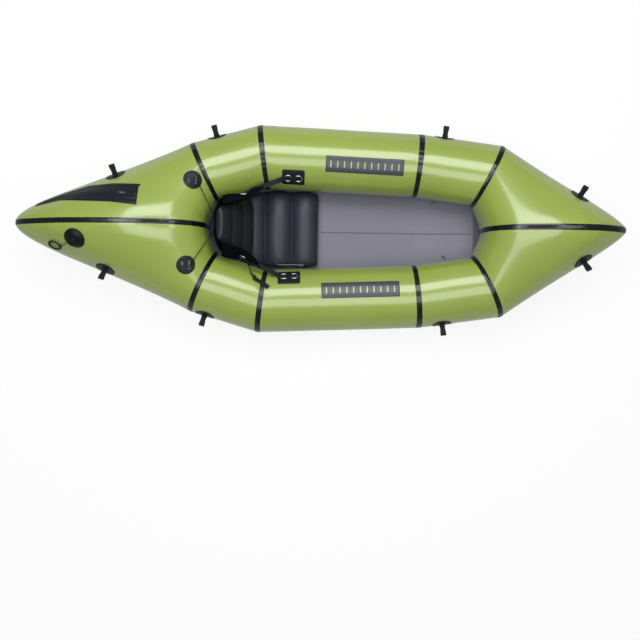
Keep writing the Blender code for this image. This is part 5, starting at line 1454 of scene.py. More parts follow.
class PACKRAFT_OT_valve(bpy.types.Operator):
    """Make the valve's domed flange and neck, its notched cap with its eye, and the tether ring."""

    bl_idname = "packraft.valve"
    bl_label = "Valve"

    def execute(self, context):
        spot = joint_spot("valve_cap_turn", -AHEAD)
        settle(revolved("valve_flange", spot, VALVE_PROFILE, "rubber"), "hull", "rubber", "valve_body")
        cap = revolved("valve_screw_cap", spot, CAP_PROFILE, "rubber", VALVE_GRIPS)
        settle(cap, "valve_cap", "rubber", "valve_cap")
        path = circle(spot.stand(0, 0, EYE_HEIGHT), spot.along, spot.out, EYE_RADIUS, 28)
        settle(hoop("valve_cap_eye", path, EYE_WIRE / 2, spot.across, "rubber", 12), "valve_cap", "rubber")
        near, far = FLANGE_RIB_REACH
        ribs = []
        for turn in turns(FLANGE_RIBS):
            line = []
            for share in (0.0, 0.2, 0.4, 0.6, 0.8, 1.0):
                reach = near + (far - near) * share
                place = spot.lay(reach * math.cos(turn), reach * math.sin(turn), 0.0082 - 0.0048 * share)
                line.append((place, spot.out))
            ribs.append(line)
        repeated("valve_flange_ribs", ribs, 0.0026, FLANGE_RIB_SIZE, "rubber", "hull", "rubber")
        self.make_tether(spot)
        plunger = frame["nodes"]["valve_plunger"]
        for slot in plunger.material_slots:
            slot.material = material("plastic")
        return {"FINISHED"}

    def make_tether(self, valve):
        """A thick oval ring that lies on the deck, its moulded leash, its collar and the knot at the neck."""
        knot = Vector(JOINTS["tether_ring_lift"]["pos_m"])
        x, y = TETHER_RING_PLACE
        spot = Spot.deck(x, y, valve.point - Vector((x, y, valve.point.z)))
        rest = TETHER_WIRE / 2 + TETHER_REST
        long, wide = TETHER_HALF_LENGTH, TETHER_HALF_WIDTH
        oval = [(long * math.cos(turn), wide * math.sin(turn)) for turn in turns(64)]
        low = min((spot.stand(a, b, rest) - spot.lay(a, b, 0.0)).dot(spot.out) for a, b in oval)
        path = [spot.stand(a, b, rest + max(0.0, rest - low)) for a, b in oval]
        ring = hoop("tether_ring_loop", path, TETHER_WIRE / 2, spot.out, "rubber")
        settle(ring, "tether_ring", "rubber", "tether_ring")
        near = path[0]
        middle = near.lerp(knot, 0.5) + spot.out * 0.004
        rise = near.lerp(middle, 0.6) + spot.out * 0.001
        leash = rod(
            "tether_leash", through([near, rise, middle, middle.lerp(knot, 0.6), knot], 8),
            lambda share: TETHER_CORD / 2 * (1 + 0.5 * math.exp(-share * 12)), "rubber")
        settle(leash, "tether_ring", "rubber")
        path = circle(valve.point + valve.out * COLLAR_HEIGHT, valve.along, valve.across, COLLAR_RADIUS, 48)
        settle(hoop("tether_collar", path, 0.0013, valve.out, "rubber", 10), "hull", "rubber")
        path = circle(knot, valve.across, valve.out, KNOT_RADIUS, 20)
        settle(hoop("tether_knot", path, 0.0016, valve.along, "rubber", 10), "tether_ring", "rubber")


# Cargo zipper

ZIPPER_AFT_SHARE = 0.1034
ZIPPER_FORE_SHARE = 0.6630
ZIPPER_OFFSET = 0.123
ZIPPER_HALF_WIDTH = 0.048
ZIPPER_OFFSET_SHARES = (0.60, 0.86, 0.99, 1.00, 0.93)
ZIPPER_WIDTH_SHARES = (0.14, 0.34, 0.78, 0.90, 1.00)
ZIPPER_ROWS = 110
ZIPPER_HALF_SECTION = (
    (0.0, 2.0), (0.015, 3.2), (0.05, 3.7), (0.13, 3.4), (0.20, 2.3), (0.27, 2.3), (0.33, 3.1), (0.40, 2.7),
    (0.46, 1.3), (0.55, 1.2), (0.68, 1.2), (0.74, 2.2), (0.80, 1.2), (0.90, 1.2), (0.975, 1.0), (1.0, 0.1),
)
ZIPPER_RIDGE = 0.0010
ZIPPER_WAVER = 0.0002
ZIPPER_SEAM_PLACES = (-0.62, 0.62, -0.93, 0.93)
TEETH_RISE = 0.0030
TEETH_SPACING = 0.0022
TEETH_SIZE = (0.0011, 0.0042, 0.0014)
SEAM_RISE = 0.0013
SLIDER_SHARE = 0.84
SLIDER_LENGTH = 0.026
SLIDER_HALF_SECTION = (
    (0.0, 0.0066), (0.0040, 0.0066), (0.0052, 0.0064), (0.0072, 0.0058), (0.0083, 0.0050), (0.0085, 0.0040),
    (0.0085, 0.0022), (0.0081, 0.0014), (0.0062, 0.0012), (0.0057, 0.0016), (0.0057, 0.0040), (0.0, 0.0042),
)
SLIDER_STATIONS = (
    (-0.5, 0.80), (-0.47, 0.93), (-0.40, 1.0), (-0.2, 1.0), (0.0, 0.93), (0.2, 0.86), (0.40, 0.80),
    (0.47, 0.74), (0.5, 0.62),
)
SLIDER_ARCH = (
    (-0.008, 0.0060), (-0.0075, 0.0085), (-0.004, 0.0098), (0.0, 0.0100), (0.004, 0.0098),
    (0.0075, 0.0085), (0.008, 0.0060),
)
PULL_OUTLINE = (
    (0.000, 0.0034), (0.004, 0.0042), (0.012, 0.0046), (0.022, 0.0050), (0.028, 0.0046), (0.030, 0.0030),
)


def zipper_place(share):
    """A place along the zipper in plan, and its half width there."""
    def read(shares):
        spot = share * (len(shares) - 1)
        base = min(int(spot), len(shares) - 2)
        t = spot - base
        return shares[base] * (1 - t) + shares[base + 1] * t

    way = ZIPPER_AFT_SHARE + (ZIPPER_FORE_SHARE - ZIPPER_AFT_SHARE) * share
    x = STERN_TIP_X + (THROAT_X - STERN_TIP_X) * way
    return x, ZIPPER_OFFSET * read(ZIPPER_OFFSET_SHARES), ZIPPER_HALF_WIDTH * read(ZIPPER_WIDTH_SHARES)


def deck_point(x, y, lift):
    """A place over the deck, seen from above."""
    spot = Spot.deck(x, y)
    return spot.point + spot.out * lift


class PACKRAFT_OT_zipper(bpy.types.Operator):
    """Make the zipper's ridged panel, its teeth and seams, its end tab and its slider."""

    bl_idname = "packraft.zipper"
    bl_label = "Cargo zipper"

    def execute(self, context):
        outer, inner = [], []
        section = [(-b, h) for b, h in reversed(ZIPPER_HALF_SECTION[1:])] + [*ZIPPER_HALF_SECTION]
        for i in range(ZIPPER_ROWS + 1):
            x, y, half = zipper_place(i / ZIPPER_ROWS)
            fade = min(1.0, i / 3 + 0.1, (ZIPPER_ROWS - i) / 2 + 0.1)
            for b, height in section:
                waver = ZIPPER_WAVER * noise.noise(Vector((x * 45, b * 5, 3.0)))
                rise = ZIPPER_RIDGE * height * fade * min(1.0, half / 0.030) + waver
                outer.append(deck_point(x, y + b * half, PATCH_LIFT + max(GAP, rise)))
                inner.append(deck_point(x, y + b * half, PATCH_LIFT - SHEET_SINK))
        faces = lattice_faces(ZIPPER_ROWS + 1, len(section), closed=False)
        panel = shell("zipper_flaps", outer, inner, faces, "zipper")
        settle(panel, "hull", "zipper", "zipper_panel")
        teeth = [self.line_along(0.0, TEETH_RISE)]
        seams = [self.line_along(b, SEAM_RISE) for b in ZIPPER_SEAM_PLACES]
        repeated("zipper_teeth", teeth, TEETH_SPACING, TEETH_SIZE, "plastic", "hull", "zipper")
        repeated("zipper_stitches", seams, STITCH_SPACING, STITCH_SIZE, "stitch", "hull", "zipper")
        x, y, half = zipper_place(0.985)
        spot = Spot.deck(x + 0.004, y + 0.86 * half)
        flat, faces, full = plate_lattice(0.016, 0.013, 0.003, 12, 10)
        raised = [0.0012 + 0.0013 * f for f in full]
        settle(laid_sheet("zipper_end_tab", spot, flat, faces, raised, "zipper"), "hull", "zipper")
        self.make_slider()
        return {"FINISHED"}

    def line_along(self, b, rise):
        """A line along the zipper, at a share of its half width."""
        line = []
        for k in range(4, 61):
            x, y, half = zipper_place(k / 62)
            line.append((deck_point(x, y + b * half, PATCH_LIFT + rise), UP))
        return line

    def make_slider(self):
        """The slider's arched body, the bridge on it and a pull with a rounded end."""
        base = deck_point(*zipper_place(SLIDER_SHARE)[:2], PATCH_TOP + 0.0001)
        along = Vector(JOINTS["zipper_slide"]["axis"]).normalized()
        across = UP.cross(along).normalized()
        out = along.cross(across)
        section = [*SLIDER_HALF_SECTION] + [(-b, h) for b, h in reversed(SLIDER_HALF_SECTION[1:-1])]
        rings = []
        for a, shrink in SLIDER_STATIONS:
            middle = base + along * (a * SLIDER_LENGTH)
            rings.append([middle + across * (b * shrink) + out * h for b, h in section])
        body = bar("zipper_slider_body", rings, "gloss", sharp=40)
        settle(body, "zipper_slider", "zipper", "zipper_slider")
        arch = through([base + along * a + out * h for a, h in SLIDER_ARCH], 4)
        settle(rod("zipper_slider_bridge", arch, 0.0012, "gloss", 10), "zipper_slider", "zipper")
        path = [base - along * a + out * (0.0084 - 0.0016 * min(1, a / 0.012)) for a, _ in PULL_OUTLINE]
        pull = band("zipper_pull", path, across, [2 * b for _, b in PULL_OUTLINE], 0.0022, "gloss")
        settle(pull, "zipper_slider", "zipper")


# Seat base and backrest

SEAT_FRONT_X = -0.009
SEAT_REAR_X = -0.372
SEAT_WIDTH = 0.342
SEAT_HEIGHT = 0.088
SEAT_SHIFT = 0.008
SEAT_CLOTH_REACH = 0.012
SEAT_STITCH_SPACING = 0.0048
SEAT_STITCH_SIZE = (0.0032, 0.0008, 0.0007)
MOUTH_TUBE_RADIUS = 0.0036
MOUTH_TUBE_PATH = (
    (-0.006, 0.004, -0.012), (0.002, 0.002, -0.001), (0.012, 0.001, 0.004), (0.035, 0, 0.006),
    (0.075, 0.0015, 0.006), (0.100, 0, 0.006),
)
MOUTHPIECE_PROFILE = (
    (0.0, 0.0046), (0.002, 0.0056), (0.004, 0.0064), (0.010, 0.0064), (0.0105, 0.0056), (0.0125, 0.0056),
    (0.0130, 0.0065), (0.019, 0.0065), (0.0208, 0.0058), (0.0212, 0.0030),
)
PAD_CHANNELS = 3
BACKREST_LENGTH = 0.289
BACKREST_WIDTH = 0.288
BACKREST_THICKNESS = 0.055
BACKREST_TOP_WIDTH_SHARE = 0.50
BACKREST_LEAN = math.radians(26.5)
BACKREST_AXIS = Vector((-0.280, 0, 0.128))
BACKREST_START = 0.0195
BACK_CLOTH_REACH = 0.009
BACK_UP = Vector((-math.sin(BACKREST_LEAN), 0, math.cos(BACKREST_LEAN)))
BACK_REAR = Vector((-math.cos(BACKREST_LEAN), 0, -math.sin(BACKREST_LEAN)))
FLOOR_RISES = ((-0.5, 0.0629), (-0.3, 0.0368), (0.0, 0.0289))
PAD_ROWS = 30
PAD_SIDES = 132
GROOVE_SHARE = 0.60
END_SHARE = 0.30
CLOTH_FRAMES = 20
CLOTH_SETTINGS = {
    "quality": 6, "mass": 0.25, "tension_stiffness": 22, "compression_stiffness": 22,
    "shear_stiffness": 8, "bending_stiffness": 0.25, "use_pressure": True, "vertex_group_mass": "sewn",
}


def floor_rise(x):
    """Height of the floor's upper side on the centre line."""
    return float(np.interp(x, *zip(*FLOOR_RISES)))


def pad_grid(length, width, height, place, width_share):
    """A slack pad with cross channels: its places and how firmly the seams hold each one."""
    points, hold = [], []
    rows = PAD_ROWS * PAD_CHANNELS
    for i in range(rows + 1):
        share = i / rows
        swell = abs(math.sin(math.pi * PAD_CHANNELS * share)) ** 0.6
        low = END_SHARE if i in (0, rows) else GROOVE_SHARE
        thick = height * (low + (1 - low) * swell)
        end_pull = 0.06 * abs(2 * share - 1) ** 6
        half = width / 2 * (1 - 0.035 * (1 - swell) - end_pull) * width_share(share)
        for k in range(PAD_SIDES):
            turn = 2 * math.pi * (k + 0.5) / PAD_SIDES
            c, s = math.cos(turn), math.sin(turn)
            across = half * math.copysign(abs(c) ** 0.62, c)
            up = thick / 2 * math.copysign(abs(s) ** 0.78, s) * (1 - 0.10 * (across / half) ** 2)
            points.append(place(length * share, across, up, thick))
        hold += [i % PAD_ROWS == 0] * PAD_SIDES
    return points, hold


def inflate(piece, hold, cap, pressure, still):
    """Blow a pad up with cloth simulation, holding its sewn lines, and cap how far a point moves."""
    group = piece.vertex_groups.new(name="sewn")
    for index, held in enumerate(hold):
        if held or still(piece.data.vertices[index].co):
            group.add([index], 1.0, "REPLACE")
    start = [v.co.copy() for v in piece.data.vertices]
    change = piece.modifiers.new("cloth", "CLOTH")
    for name, value in CLOTH_SETTINGS.items():
        setattr(change.settings, name, value)
    change.settings.uniform_pressure_force = pressure
    change.settings.effector_weights.gravity = 0
    change.collision_settings.use_collision = False
    scene = bpy.context.scene
    for number in range(1, CLOTH_FRAMES + 1):
        scene.frame_set(number)
    blown = piece.evaluated_get(bpy.context.evaluated_depsgraph_get())
    ends = [v.co.copy() for v in blown.data.vertices]
    piece.modifiers.remove(change)
    scene.frame_set(1)
    for vertex, first, last in zip(piece.data.vertices, start, ends):
        move = last - first
        if move.length > cap:
            move *= cap / move.length
        vertex.co = first + move


def refine(piece):
    """One round of subdivision, as a plain mesh."""
    change = piece.modifiers.new("subdivision", "SUBSURF")
    change.levels = change.render_levels = 1
    context = bpy.context.evaluated_depsgraph_get()
    mesh = bpy.data.meshes.new_from_object(piece.evaluated_get(context))
    old = piece.data
    piece.modifiers.remove(change)
    piece.vertex_groups.clear()
    piece.data = mesh
    bpy.data.meshes.remove(old)
    mesh.name = piece.name
    mesh.shade_smooth()


def cushion(name, grid, finish):
    """A pad's mesh from its rings, with its ends closed by rows of faces across."""
    rows = len(grid) // PAD_SIDES
    faces = lattice_faces(rows, PAD_SIDES, closed=True)
    for start in (0, (rows - 1) * PAD_SIDES):
        for k in range(PAD_SIDES // 2 - 1):
            high, low = start + k, start + PAD_SIDES - 1 - k
            faces.append((high, high + 1, low - 1, low))
    return turn_out(add_piece(name, grid, faces, finish))


def pad_line(piece, start, end, steps, lift):
    """A line on a piece's upper side, found by casting rays down at it."""
    tree = BVHTree.FromObject(piece, bpy.context.evaluated_depsgraph_get())
    start, end = Vector(start), Vector(end)
    line = []
    for k in range(steps + 1):
        hit, normal = tree.ray_cast(start.lerp(end, k / steps), -UP)[:2]
        if hit is not None:
            up = normal if normal.z > 0 else -normal
            line.append((hit + up * lift, up))
    return line


class CUSHIONS_PG(bpy.types.PropertyGroup):
    """How hard the two cushions are blown up."""

    seat_pressure: FloatProperty(
        name="Seat pressure", description="Air pressure in the seat base", default=3.5)
    back_pressure: FloatProperty(
        name="Back pressure", description="Air pressure in the backrest", default=3.5)


class PACKRAFT_OT_seat(bpy.types.Operator):
    """Make the inflated seat base with its channels, its sewn edges and its mouth tube."""

    bl_idname = "packraft.seat"
    bl_label = "Seat base"

    def execute(self, context):
        def on_floor(along, across, up, thick):
            x = SEAT_REAR_X + along
            return Vector((x, across + SEAT_SHIFT, floor_rise(x) + GAP + thick / 2 + up))

        def width_share(share):
            return min(1.0, 0.84 + 0.16 * share / 0.34)

        length = SEAT_FRONT_X - SEAT_REAR_X
        grid, hold = pad_grid(length, SEAT_WIDTH * 1.02, SEAT_HEIGHT * 0.90, on_floor, width_share)
        base = cushion("seat_base_cushion", grid, "seat")
        pressure = context.scene.packraft_cushions.seat_pressure
        inflate(base, hold, SEAT_CLOTH_REACH, pressure, lambda p: p.z < floor_rise(p.x) + 0.012)
        refine(base)
        settle(base, "hull", "seat", "seat_base")
        stitches = []
        for share in (1 / 3, 2 / 3, 0.985):
            for off in (-0.004, 0.004):
                x = SEAT_REAR_X + length * share + off
                if x > SEAT_FRONT_X - 0.001:
                    continue
                half = SEAT_WIDTH * 0.45
                stitches.append(pad_line(base, (x, -half, 0.3), (x, half, 0.3), 60, 0.0002))
        repeated(
            "seat_base_stitches", stitches, SEAT_STITCH_SPACING, SEAT_STITCH_SIZE, "stitch", "hull", "seat")
        self.make_tube()
        return {"FINISHED"}

    def make_tube(self):
        """The mouth tube along the right edge, its cuff and its twist cap."""
        x, y = -0.194, -SEAT_WIDTH / 2 * 0.93
        z = floor_rise(x) + SEAT_HEIGHT * 0.86
        path = through([(x + a, y + b, z + c) for a, b, c in MOUTH_TUBE_PATH], 8)
        settle(rod("seat_mouth_tube", path, MOUTH_TUBE_RADIUS, "grey", 16), "hull", "plastic")
        rings = [circle(path[-1] + AHEAD * a, ACROSS, UP, radius, 24) for a, radius in MOUTHPIECE_PROFILE]
        settle(bar("seat_mouthpiece", rings, "grey", sharp=35), "hull", "plastic")


PANEL_FLARE = 0.034
PANEL_FLARE_START = 0.35
PANEL_ROWS = 36
PANEL_COLUMNS = 28
PANEL_THICKNESS = 0.0016
PANEL_WRINKLE = 0.0016
PANEL_GAP = 0.0012
PANEL_RIM_RADIUS = 0.0026
WING_REACH = 0.150
WING_RIM_SHARES = (
    (0.880, 0.570, 0.882), (0.647, 0.640, 0.879), (0.267, 0.780, 0.768), (0.000, 0.990, 0.633),
)
WING_FOOT_SHARES = (
    (1.000, 0.868, 0.464), (0.767, 0.930, 0.422), (0.433, 0.972, 0.405), (0.100, 1.160, 0.405),
)
WING_THICKNESS = 0.0022
WING_TIP_SHARE = 0.45
WING_BELLY = 0.005
WING_SPREAD = 0.008
WING_ROWS = 14
WING_STEPS = 12
WING_FULLNESS = 0.010
WING_CREASE = 0.0022
WING_PIPING_RADIUS = 0.0019
LOCK_DOWN_SHARE = 0.667
LOCK_LENGTH = 0.026
LOCK_WIDTH = 0.034
LOCK_THICKNESS = 0.0045
STRAP_WIDTH = 0.022
STRAP_THICKNESS = 0.0015
STRAP_LEVEL_SHARES = (0.3, 0.7)


def wing_place(side, shares):
    """A point of a backrest wing."""
    back, across, up = shares
    x = BACKREST_AXIS.x - WING_REACH * back
    return Vector((x, side * BACKREST_WIDTH / 2 * across, BACKREST_AXIS.z + BACKREST_LENGTH * up))


def bend(piece, start, end):
    """Bake a piece's place into its mesh."""
    tuple(start)
    tuple(end)
    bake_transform(piece)


class Rigging:
    """Where one side's wing, ladder-lock and strap are."""

    def __init__(self, word):
        side = self.side = SIDES[word]
        self.rim = [wing_place(side, shares) for shares in WING_RIM_SHARES]
        self.foot = [wing_place(side, shares) for shares in WING_FOOT_SHARES]
        aft, fore = ring_places(word)
        self.ring_along = (fore - aft).normalized()
        across = Vector(JOINTS[f"d_ring_aft_{word}_hinge"]["axis"]).normalized()
        ring_out = self.ring_along.cross(across)
        self.ring_out = ring_out if ring_out.z > 0 else -ring_out
        self.ring_across = self.ring_out.cross(self.ring_along)
        over_wire = (D_RING_WIRE + STRAP_THICKNESS) / 2 + GAP
        self.bow = aft - self.ring_along * D_RING_BOW
        self.target = aft - self.ring_along * (D_RING_BOW - D_RING_WIRE) + self.ring_out * over_wire
        station = len(self.rim) // 2
        spot = self.rim[station].lerp(self.foot[station], LOCK_DOWN_SHARE)
        fall = self.foot[station] - self.rim[station]
        out = (self.target - spot).cross(fall).normalized() * side
        self.lock = spot + out * ((WING_THICKNESS + LOCK_THICKNESS) / 2 + WING_BELLY)
        self.along = (self.target - self.lock).normalized()
        self.across = out.cross(self.along).normalized()
        self.out = self.along.cross(self.across).normalized()
        self.start = self.lock + self.along * (LOCK_LENGTH / 2 + GAP)
        self.free = self.lock + self.along * (LOCK_LENGTH / 2)

    def strap_across(self, share):
        """The strap's crosswise direction on its way to the ring."""
        level = UP.cross(self.along).normalized()
        level = level if level.dot(self.across) > 0 else -level
        finish = self.ring_across if self.ring_across.dot(level) > 0 else -self.ring_across
        if share < STRAP_LEVEL_SHARES[1]:
            return self.across.lerp(level, min(1.0, share / STRAP_LEVEL_SHARES[0])).normalized()
        late = (share - STRAP_LEVEL_SHARES[1]) / (1 - STRAP_LEVEL_SHARES[1])
        return level.lerp(finish, max(0.0, min(1.0, late))).normalized()


class PACKRAFT_OT_backrest(bpy.types.Operator):
    """Make the inflated backrest, its black rear panel and rim, and the wings at its sides."""

    bl_idname = "packraft.backrest"
    bl_label = "Backrest"

    def execute(self, context):
        start = BACKREST_AXIS + BACK_UP * BACKREST_START + BACK_REAR * (BACKREST_THICKNESS / 2)

        def on_back(along, across, up, thick):
            return start + BACK_UP * along + ACROSS * across + BACK_REAR * up

        def width_share(share):
            return 1 - (1 - BACKREST_TOP_WIDTH_SHARE) * share

        length = BACKREST_LENGTH - BACKREST_START
        width, height = BACKREST_WIDTH * 0.98, BACKREST_THICKNESS * 0.88
        grid, hold = pad_grid(length, width, height, on_back, width_share)
        pad = cushion("backrest_cushion", grid, "backrest")
        rear = BACKREST_THICKNESS * 0.72
        pressure = context.scene.packraft_cushions.back_pressure
        inflate(pad, hold, BACK_CLOTH_REACH, pressure, lambda p: (p - BACKREST_AXIS).dot(BACK_REAR) > rear)
        refine(pad)
        settle(pad, "backrest", "seat", "backrest")
        self.make_panel(pad)
        for word in SIDES:
            self.make_wing(word)
        return {"FINISHED"}

    def make_panel(self, pad):
        """The stiff black panel behind the cushion, with a rolled rim; its flared sides are partly the real
        panel and partly painted shade.
        """
        outer, inner = [], []
        rows, columns = PANEL_ROWS, PANEL_COLUMNS
        for i in range(rows + 1):
            share = i / rows
            up = BACKREST_START * 0.6 + (BACKREST_LENGTH - BACKREST_START * 0.2) * share
            half = BACKREST_WIDTH / 2 * (1 - (1 - BACKREST_TOP_WIDTH_SHARE) * share) + 0.006
            begun = max(0.0, min(1.0, (share - PANEL_FLARE_START) / 0.35))
            # The flare widens the black panel: partly the real panel, partly a dark sheet put over the shade
            # between the backrest and the tubes (painted shade).
            half += PANEL_FLARE * begun * math.sin(math.pi * min(0.999, share)) ** 0.6
            half *= min(1.0, 0.86 + 0.14 * math.sqrt(min(1.0, (1 - share) * 9)))
            for j in range(columns + 1):
                b = half * (2 * j / columns - 1)
                edge = abs(b) / half
                curl = 0.016 * edge ** 6 + 0.014 * max(0.0, share - 0.9) * 10 * (1 - 0.3 * edge)
                wrinkle = PANEL_WRINKLE * noise.noise(Vector((b * 22, up * 22, 9.0)))
                depth = BACKREST_THICKNESS + PANEL_GAP - curl + wrinkle * (1 - edge)
                place = BACKREST_AXIS + BACK_UP * up + ACROSS * b
                outer.append(place + BACK_REAR * (depth + PANEL_THICKNESS))
                inner.append(place + BACK_REAR * depth)
        faces = lattice_faces(rows + 1, columns + 1, closed=False)
        panel = shell("backrest_rear_panel", outer, inner, faces, "shell")
        settle(panel, "backrest", "seat")
        loop = [outer[i * (columns + 1)] for i in range(rows + 1)]
        loop += [outer[rows * (columns + 1) + j] for j in range(1, columns + 1)]
        loop += [outer[i * (columns + 1) + columns] for i in range(rows - 1, -1, -1)]
        settle(rod("backrest_rim", loop, PANEL_RIM_RADIUS, "shell"), "backrest", "seat")

    def make_wing(self, word):
        """A fabric wing from the backrest's side to the strap, with a bound rim."""
        rig = Rigging(word)
        tip = rig.start.lerp(rig.target, WING_TIP_SHARE)
        across = rig.strap_across(WING_TIP_SHARE)
        edges = sorted((tip + across * (s * STRAP_WIDTH * 0.43) for s in (-1, 1)), key=lambda p: -p.z)
        rim = through(rig.rim + [edges[0]], WING_STEPS)
        foot = [place + ACROSS * (rig.side * WING_SPREAD) for place in rig.foot]
        foot = through(foot + [edges[1]], WING_STEPS)
        outer, inner = [], []
        for i, (top, low) in enumerate(zip(rim, foot)):
            ahead, behind = min(i + 1, len(rim) - 1), max(i - 1, 0)
            run = rim[ahead] + foot[ahead] - rim[behind] - foot[behind]
            out = run.cross(low - top).normalized() * rig.side
            taper = 1 - i / (len(rim) - 1)
            fullness = WING_FULLNESS * min(1.0, taper * 2) * (0.35 if 18 < i < 32 else 0.7)
            for k in range(WING_ROWS + 1):
                t = k / WING_ROWS
                fold = noise.noise(Vector((i * 0.30, t * 3.2, 4.0 + rig.side)))
                crease = WING_CREASE * fold * min(1.0, taper * 3)
                point = top.lerp(low, t) + out * (fullness * math.sin(math.pi * t) + crease + 0.0005)
                outer.append(point + out * 0.0007)
                inner.append(point - out * 0.0007)
        faces = lattice_faces(len(rim), WING_ROWS + 1, closed=False)
        wing = shell(f"backrest_wing_{word}", outer, inner, faces, "shell")
        bend(wing, tip, rig.free)
        piping = rod(f"backrest_wing_piping_{word}", rim, WING_PIPING_RADIUS, "shell", 10)
        bend(piping, tip, rig.free)


# Straps, ladder-locks and the cord behind the backrest

STRAP_TAIL_START = ((-0.3170, -0.1560, 0.2860), (-0.3079, -0.1762, 0.2830))
STRAP_TAIL_LAID = (
    (-0.3017, -0.2140, 0.0105), (-0.2900, -0.2270, 0.0095), (-0.2787, -0.2368, 0.0075),
    (-0.2484, -0.2508, 0.0040), (-0.2219, -0.2691, 0.0028),
)
STRAP_TAIL_TURN_SHARE = 0.45
STRAP_TAIL_FLAT_SHARE = 0.75
BACK_CORD_DIAMETER = 0.004
BACK_LOOP_REACH = 0.253
BACK_LOOP_HALF = 0.012
LOCK_BAR_REACH = 0.0113
LOCK_BAR_RADIUS = 0.0017
LOCK_FRAME_RADIUS = 0.0019
LOCK_TAB_THICKNESS = 0.0014
STRAP_SAG = 0.0012
STRAP_LIFT = 0.0005


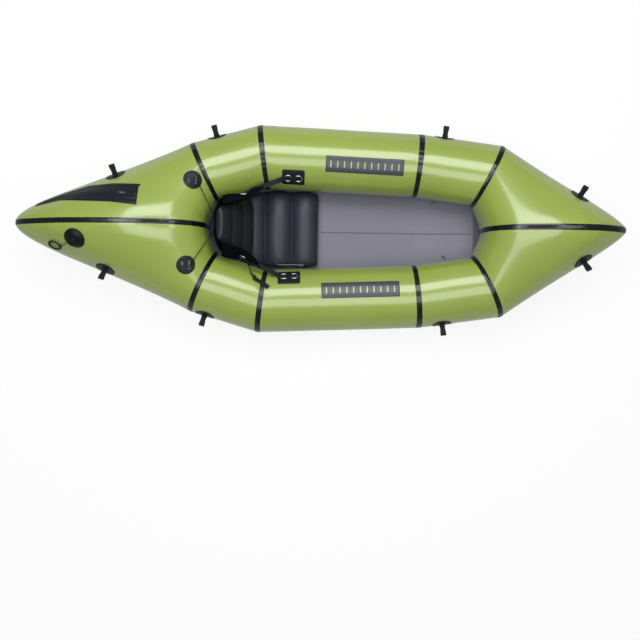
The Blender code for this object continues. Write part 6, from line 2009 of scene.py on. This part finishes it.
class PACKRAFT_OT_straps(bpy.types.Operator):
    """Make the ladder-locks, the straps round the aft rings, the loose tail and the rear cord."""

    bl_idname = "packraft.straps"
    bl_label = "Straps and cord"

    def execute(self, context):
        for word in SIDES:
            rig = Rigging(word)
            self.make_lock(word, rig)
            self.make_strap(word, rig)
        self.make_tail()
        self.make_cord()
        return {"FINISHED"}

    def make_lock(self, word, rig):
        """A bent steel frame with three bars, and the webbing that holds it to the backrest."""
        half, reach = LOCK_WIDTH / 2, LOCK_BAR_REACH
        for number, (a, width) in enumerate(((-reach, half), (0.0, half - 0.003), (reach, half))):
            ends = [rig.lock + rig.along * a + rig.across * (s * width) for s in (-1, 1)]
            path = through([ends[0], ends[0].lerp(ends[1], 0.5) + rig.out * 0.0002, ends[1]], 10)
            piece = rod(f"ladder_bar_{word}_{number}", path, LOCK_BAR_RADIUS, "steel", 14)
            settle(piece, "backrest", "steel")
        inset = half - 0.0018
        loop = ((-reach, -inset), (reach, -inset), (reach, inset), (-reach, inset))
        path = []
        for (a0, b0), (a1, b1) in zip(loop, loop[1:] + loop[:1]):
            for k in range(8):
                t = k / 8
                path.append(rig.lock + rig.along * (a0 + (a1 - a0) * t) + rig.across * (b0 + (b1 - b0) * t))
        edge = hoop(f"ladder_frame_{word}", path, LOCK_FRAME_RADIUS, rig.out, "steel")
        settle(edge, "backrest", "steel", f"ladder_lock_{word}")
        inner = BACKREST_AXIS + BACK_UP * 0.150 + BACK_REAR * 0.022 + ACROSS * (rig.side * 0.088)
        rear = rig.lock - rig.along * reach
        path = through([
            rear + rig.out * 0.0030 - rig.along * 0.010, rear + rig.out * 0.0028, rear + rig.along * 0.0026,
            rear - rig.out * 0.0028, rear - rig.out * 0.0020 - rig.along * 0.012,
            rear.lerp(inner, 0.75), inner], 6)
        tab = band(f"ladder_tab_{word}", path, rig.across, STRAP_WIDTH, LOCK_TAB_THICKNESS, "webbing")
        settle(tab, "backrest", "webbing")

    def make_strap(self, word, rig):
        """A strap from the lock's middle bar round the aft ring's bow and back under itself."""
        first = rig.lock + rig.along * 0.0045
        places, shares = [], []
        for k in range(17):
            t = k / 16
            lift = STRAP_SAG * math.sin(math.pi * t) + (STRAP_LIFT if t < 0.25 else 0.0)
            places.append(first.lerp(rig.target, t) + rig.out * lift)
            shares.append(t)
        reach = D_RING_WIRE / 2 + GAP + STRAP_THICKNESS / 2
        for k in range(1, 8):
            turn = math.radians(90 - 180 * k / 8)
            a, h = reach * math.cos(turn), reach * math.sin(turn)
            places.append(rig.bow + rig.ring_along * a + rig.ring_out * h)
            shares.append(1.0)
        under = rig.bow - rig.ring_out * reach
        back = (first - under).normalized()
        for k in range(1, 7):
            places.append(under + back * (0.006 * k) + rig.ring_out * (0.0006 * k))
            shares.append(1.0 - 0.03 * k)
        acrosses = [rig.strap_across(t) for t in shares]
        strap = band(
            f"backrest_strap_{word}_web", places, acrosses, STRAP_WIDTH, STRAP_THICKNESS, "webbing")
        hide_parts(f"backrest_strap_{word}")
        bend(strap, rig.start.lerp(rig.target, WING_TIP_SHARE), rig.free)

    def make_tail(self):
        """The loose end of the right strap, which lies over the tube."""
        rig = Rigging("right")
        lock_end = rig.lock - rig.along * 0.002 + rig.out * 0.006
        laid = [deck_point(*place) for place in STRAP_TAIL_LAID]
        path = through([lock_end, *STRAP_TAIL_START, *laid], 7)
        acrosses = []
        for i, (place, way) in enumerate(zip(path, tangents(path, False))):
            t = i / (len(path) - 1)
            skin = Spot.near(place, way)
            flat = skin.out.cross(way).normalized()
            edge = (UP - way * UP.dot(way)).normalized()
            turned = (t - STRAP_TAIL_TURN_SHARE) / (STRAP_TAIL_FLAT_SHARE - STRAP_TAIL_TURN_SHARE)
            turned = max(0.0, min(1.0, turned))
            acrosses.append(edge.lerp(flat, 0.25 + 0.75 * turned * turned * (3 - 2 * turned)).normalized())
        tail = band("backrest_strap_tail", path, acrosses, STRAP_WIDTH * 0.9, STRAP_THICKNESS, "webbing")
        bend(tail, laid[0], lock_end)

    def make_cord(self):
        """One thin cord from bridge to bridge, round the back of the backrest."""
        behind = BACKREST_THICKNESS + BACK_CORD_DIAMETER + 0.001
        rear = BACKREST_AXIS + BACK_UP * BACK_LOOP_REACH + BACK_REAR * behind
        rise = PATCH_TOP + TIE_BAR_HEIGHT + 0.0046
        ends = [Spot.deck(x, y).stand(TIE_BAR_SPACING / 2, 0, rise) for x, y in TIE_PLACES.values()]
        turn = ACROSS * BACK_LOOP_HALF
        path = [ends[0].lerp(rear + turn, t / 6) for t in range(6)]
        path += [rear + turn, rear + turn * 0.6, rear - BACK_REAR * 0.0006, rear - turn * 0.6, rear - turn]
        path += [(rear - turn).lerp(ends[1], t / 6) for t in range(1, 7)]
        cord = rod("back_cord_line", path, BACK_CORD_DIAMETER / 2, "cord")
        cord.data.shade_smooth()
        length = sum((b - a).length for a, b in zip(path, path[1:]))
        tuple(path[0])
        [tuple(p) for p in path]
        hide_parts("back_cord")
        bend(cord, (ends[0] + ends[1]) / 2, rear)


OPERATORS = (
    PACKRAFT_OT_stage, PACKRAFT_OT_straps, PACKRAFT_OT_hull, PACKRAFT_OT_tapes, PACKRAFT_OT_floor,
    PACKRAFT_OT_grab_loops, PACKRAFT_OT_tie_patches, PACKRAFT_OT_rings, PACKRAFT_OT_lash_strips,
    PACKRAFT_OT_valve, PACKRAFT_OT_zipper, PACKRAFT_OT_seat, PACKRAFT_OT_backrest,
)


class PACKRAFT_PT_panel(bpy.types.Panel):
    """Lists the raft's pieces."""

    bl_idname = "PACKRAFT_PT_panel"
    bl_label = "Packraft"
    bl_space_type = "VIEW_3D"
    bl_region_type = "UI"
    bl_category = "Packraft"

    def draw(self, context):
        for operator in OPERATORS:
            self.layout.operator(operator.bl_idname)


GROUPS = {"packraft_stage": STAGE_PG, "packraft_hull": HULL_PG, "packraft_cushions": CUSHIONS_PG}
CLASSES = (*GROUPS.values(), *OPERATORS, PACKRAFT_PT_panel)


def register():
    for kind in CLASSES:
        bpy.utils.register_class(kind)
    for name, group in GROUPS.items():
        setattr(bpy.types.Scene, name, PointerProperty(type=group))


def unregister():
    for name in GROUPS:
        delattr(bpy.types.Scene, name)
    for kind in reversed(CLASSES):
        bpy.utils.unregister_class(kind)


def main():
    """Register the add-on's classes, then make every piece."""
    register()
    for operator in OPERATORS:
        group, name = operator.bl_idname.split(".")
        getattr(getattr(bpy.ops, group), name)()


if __name__ == "__main__":
    main()
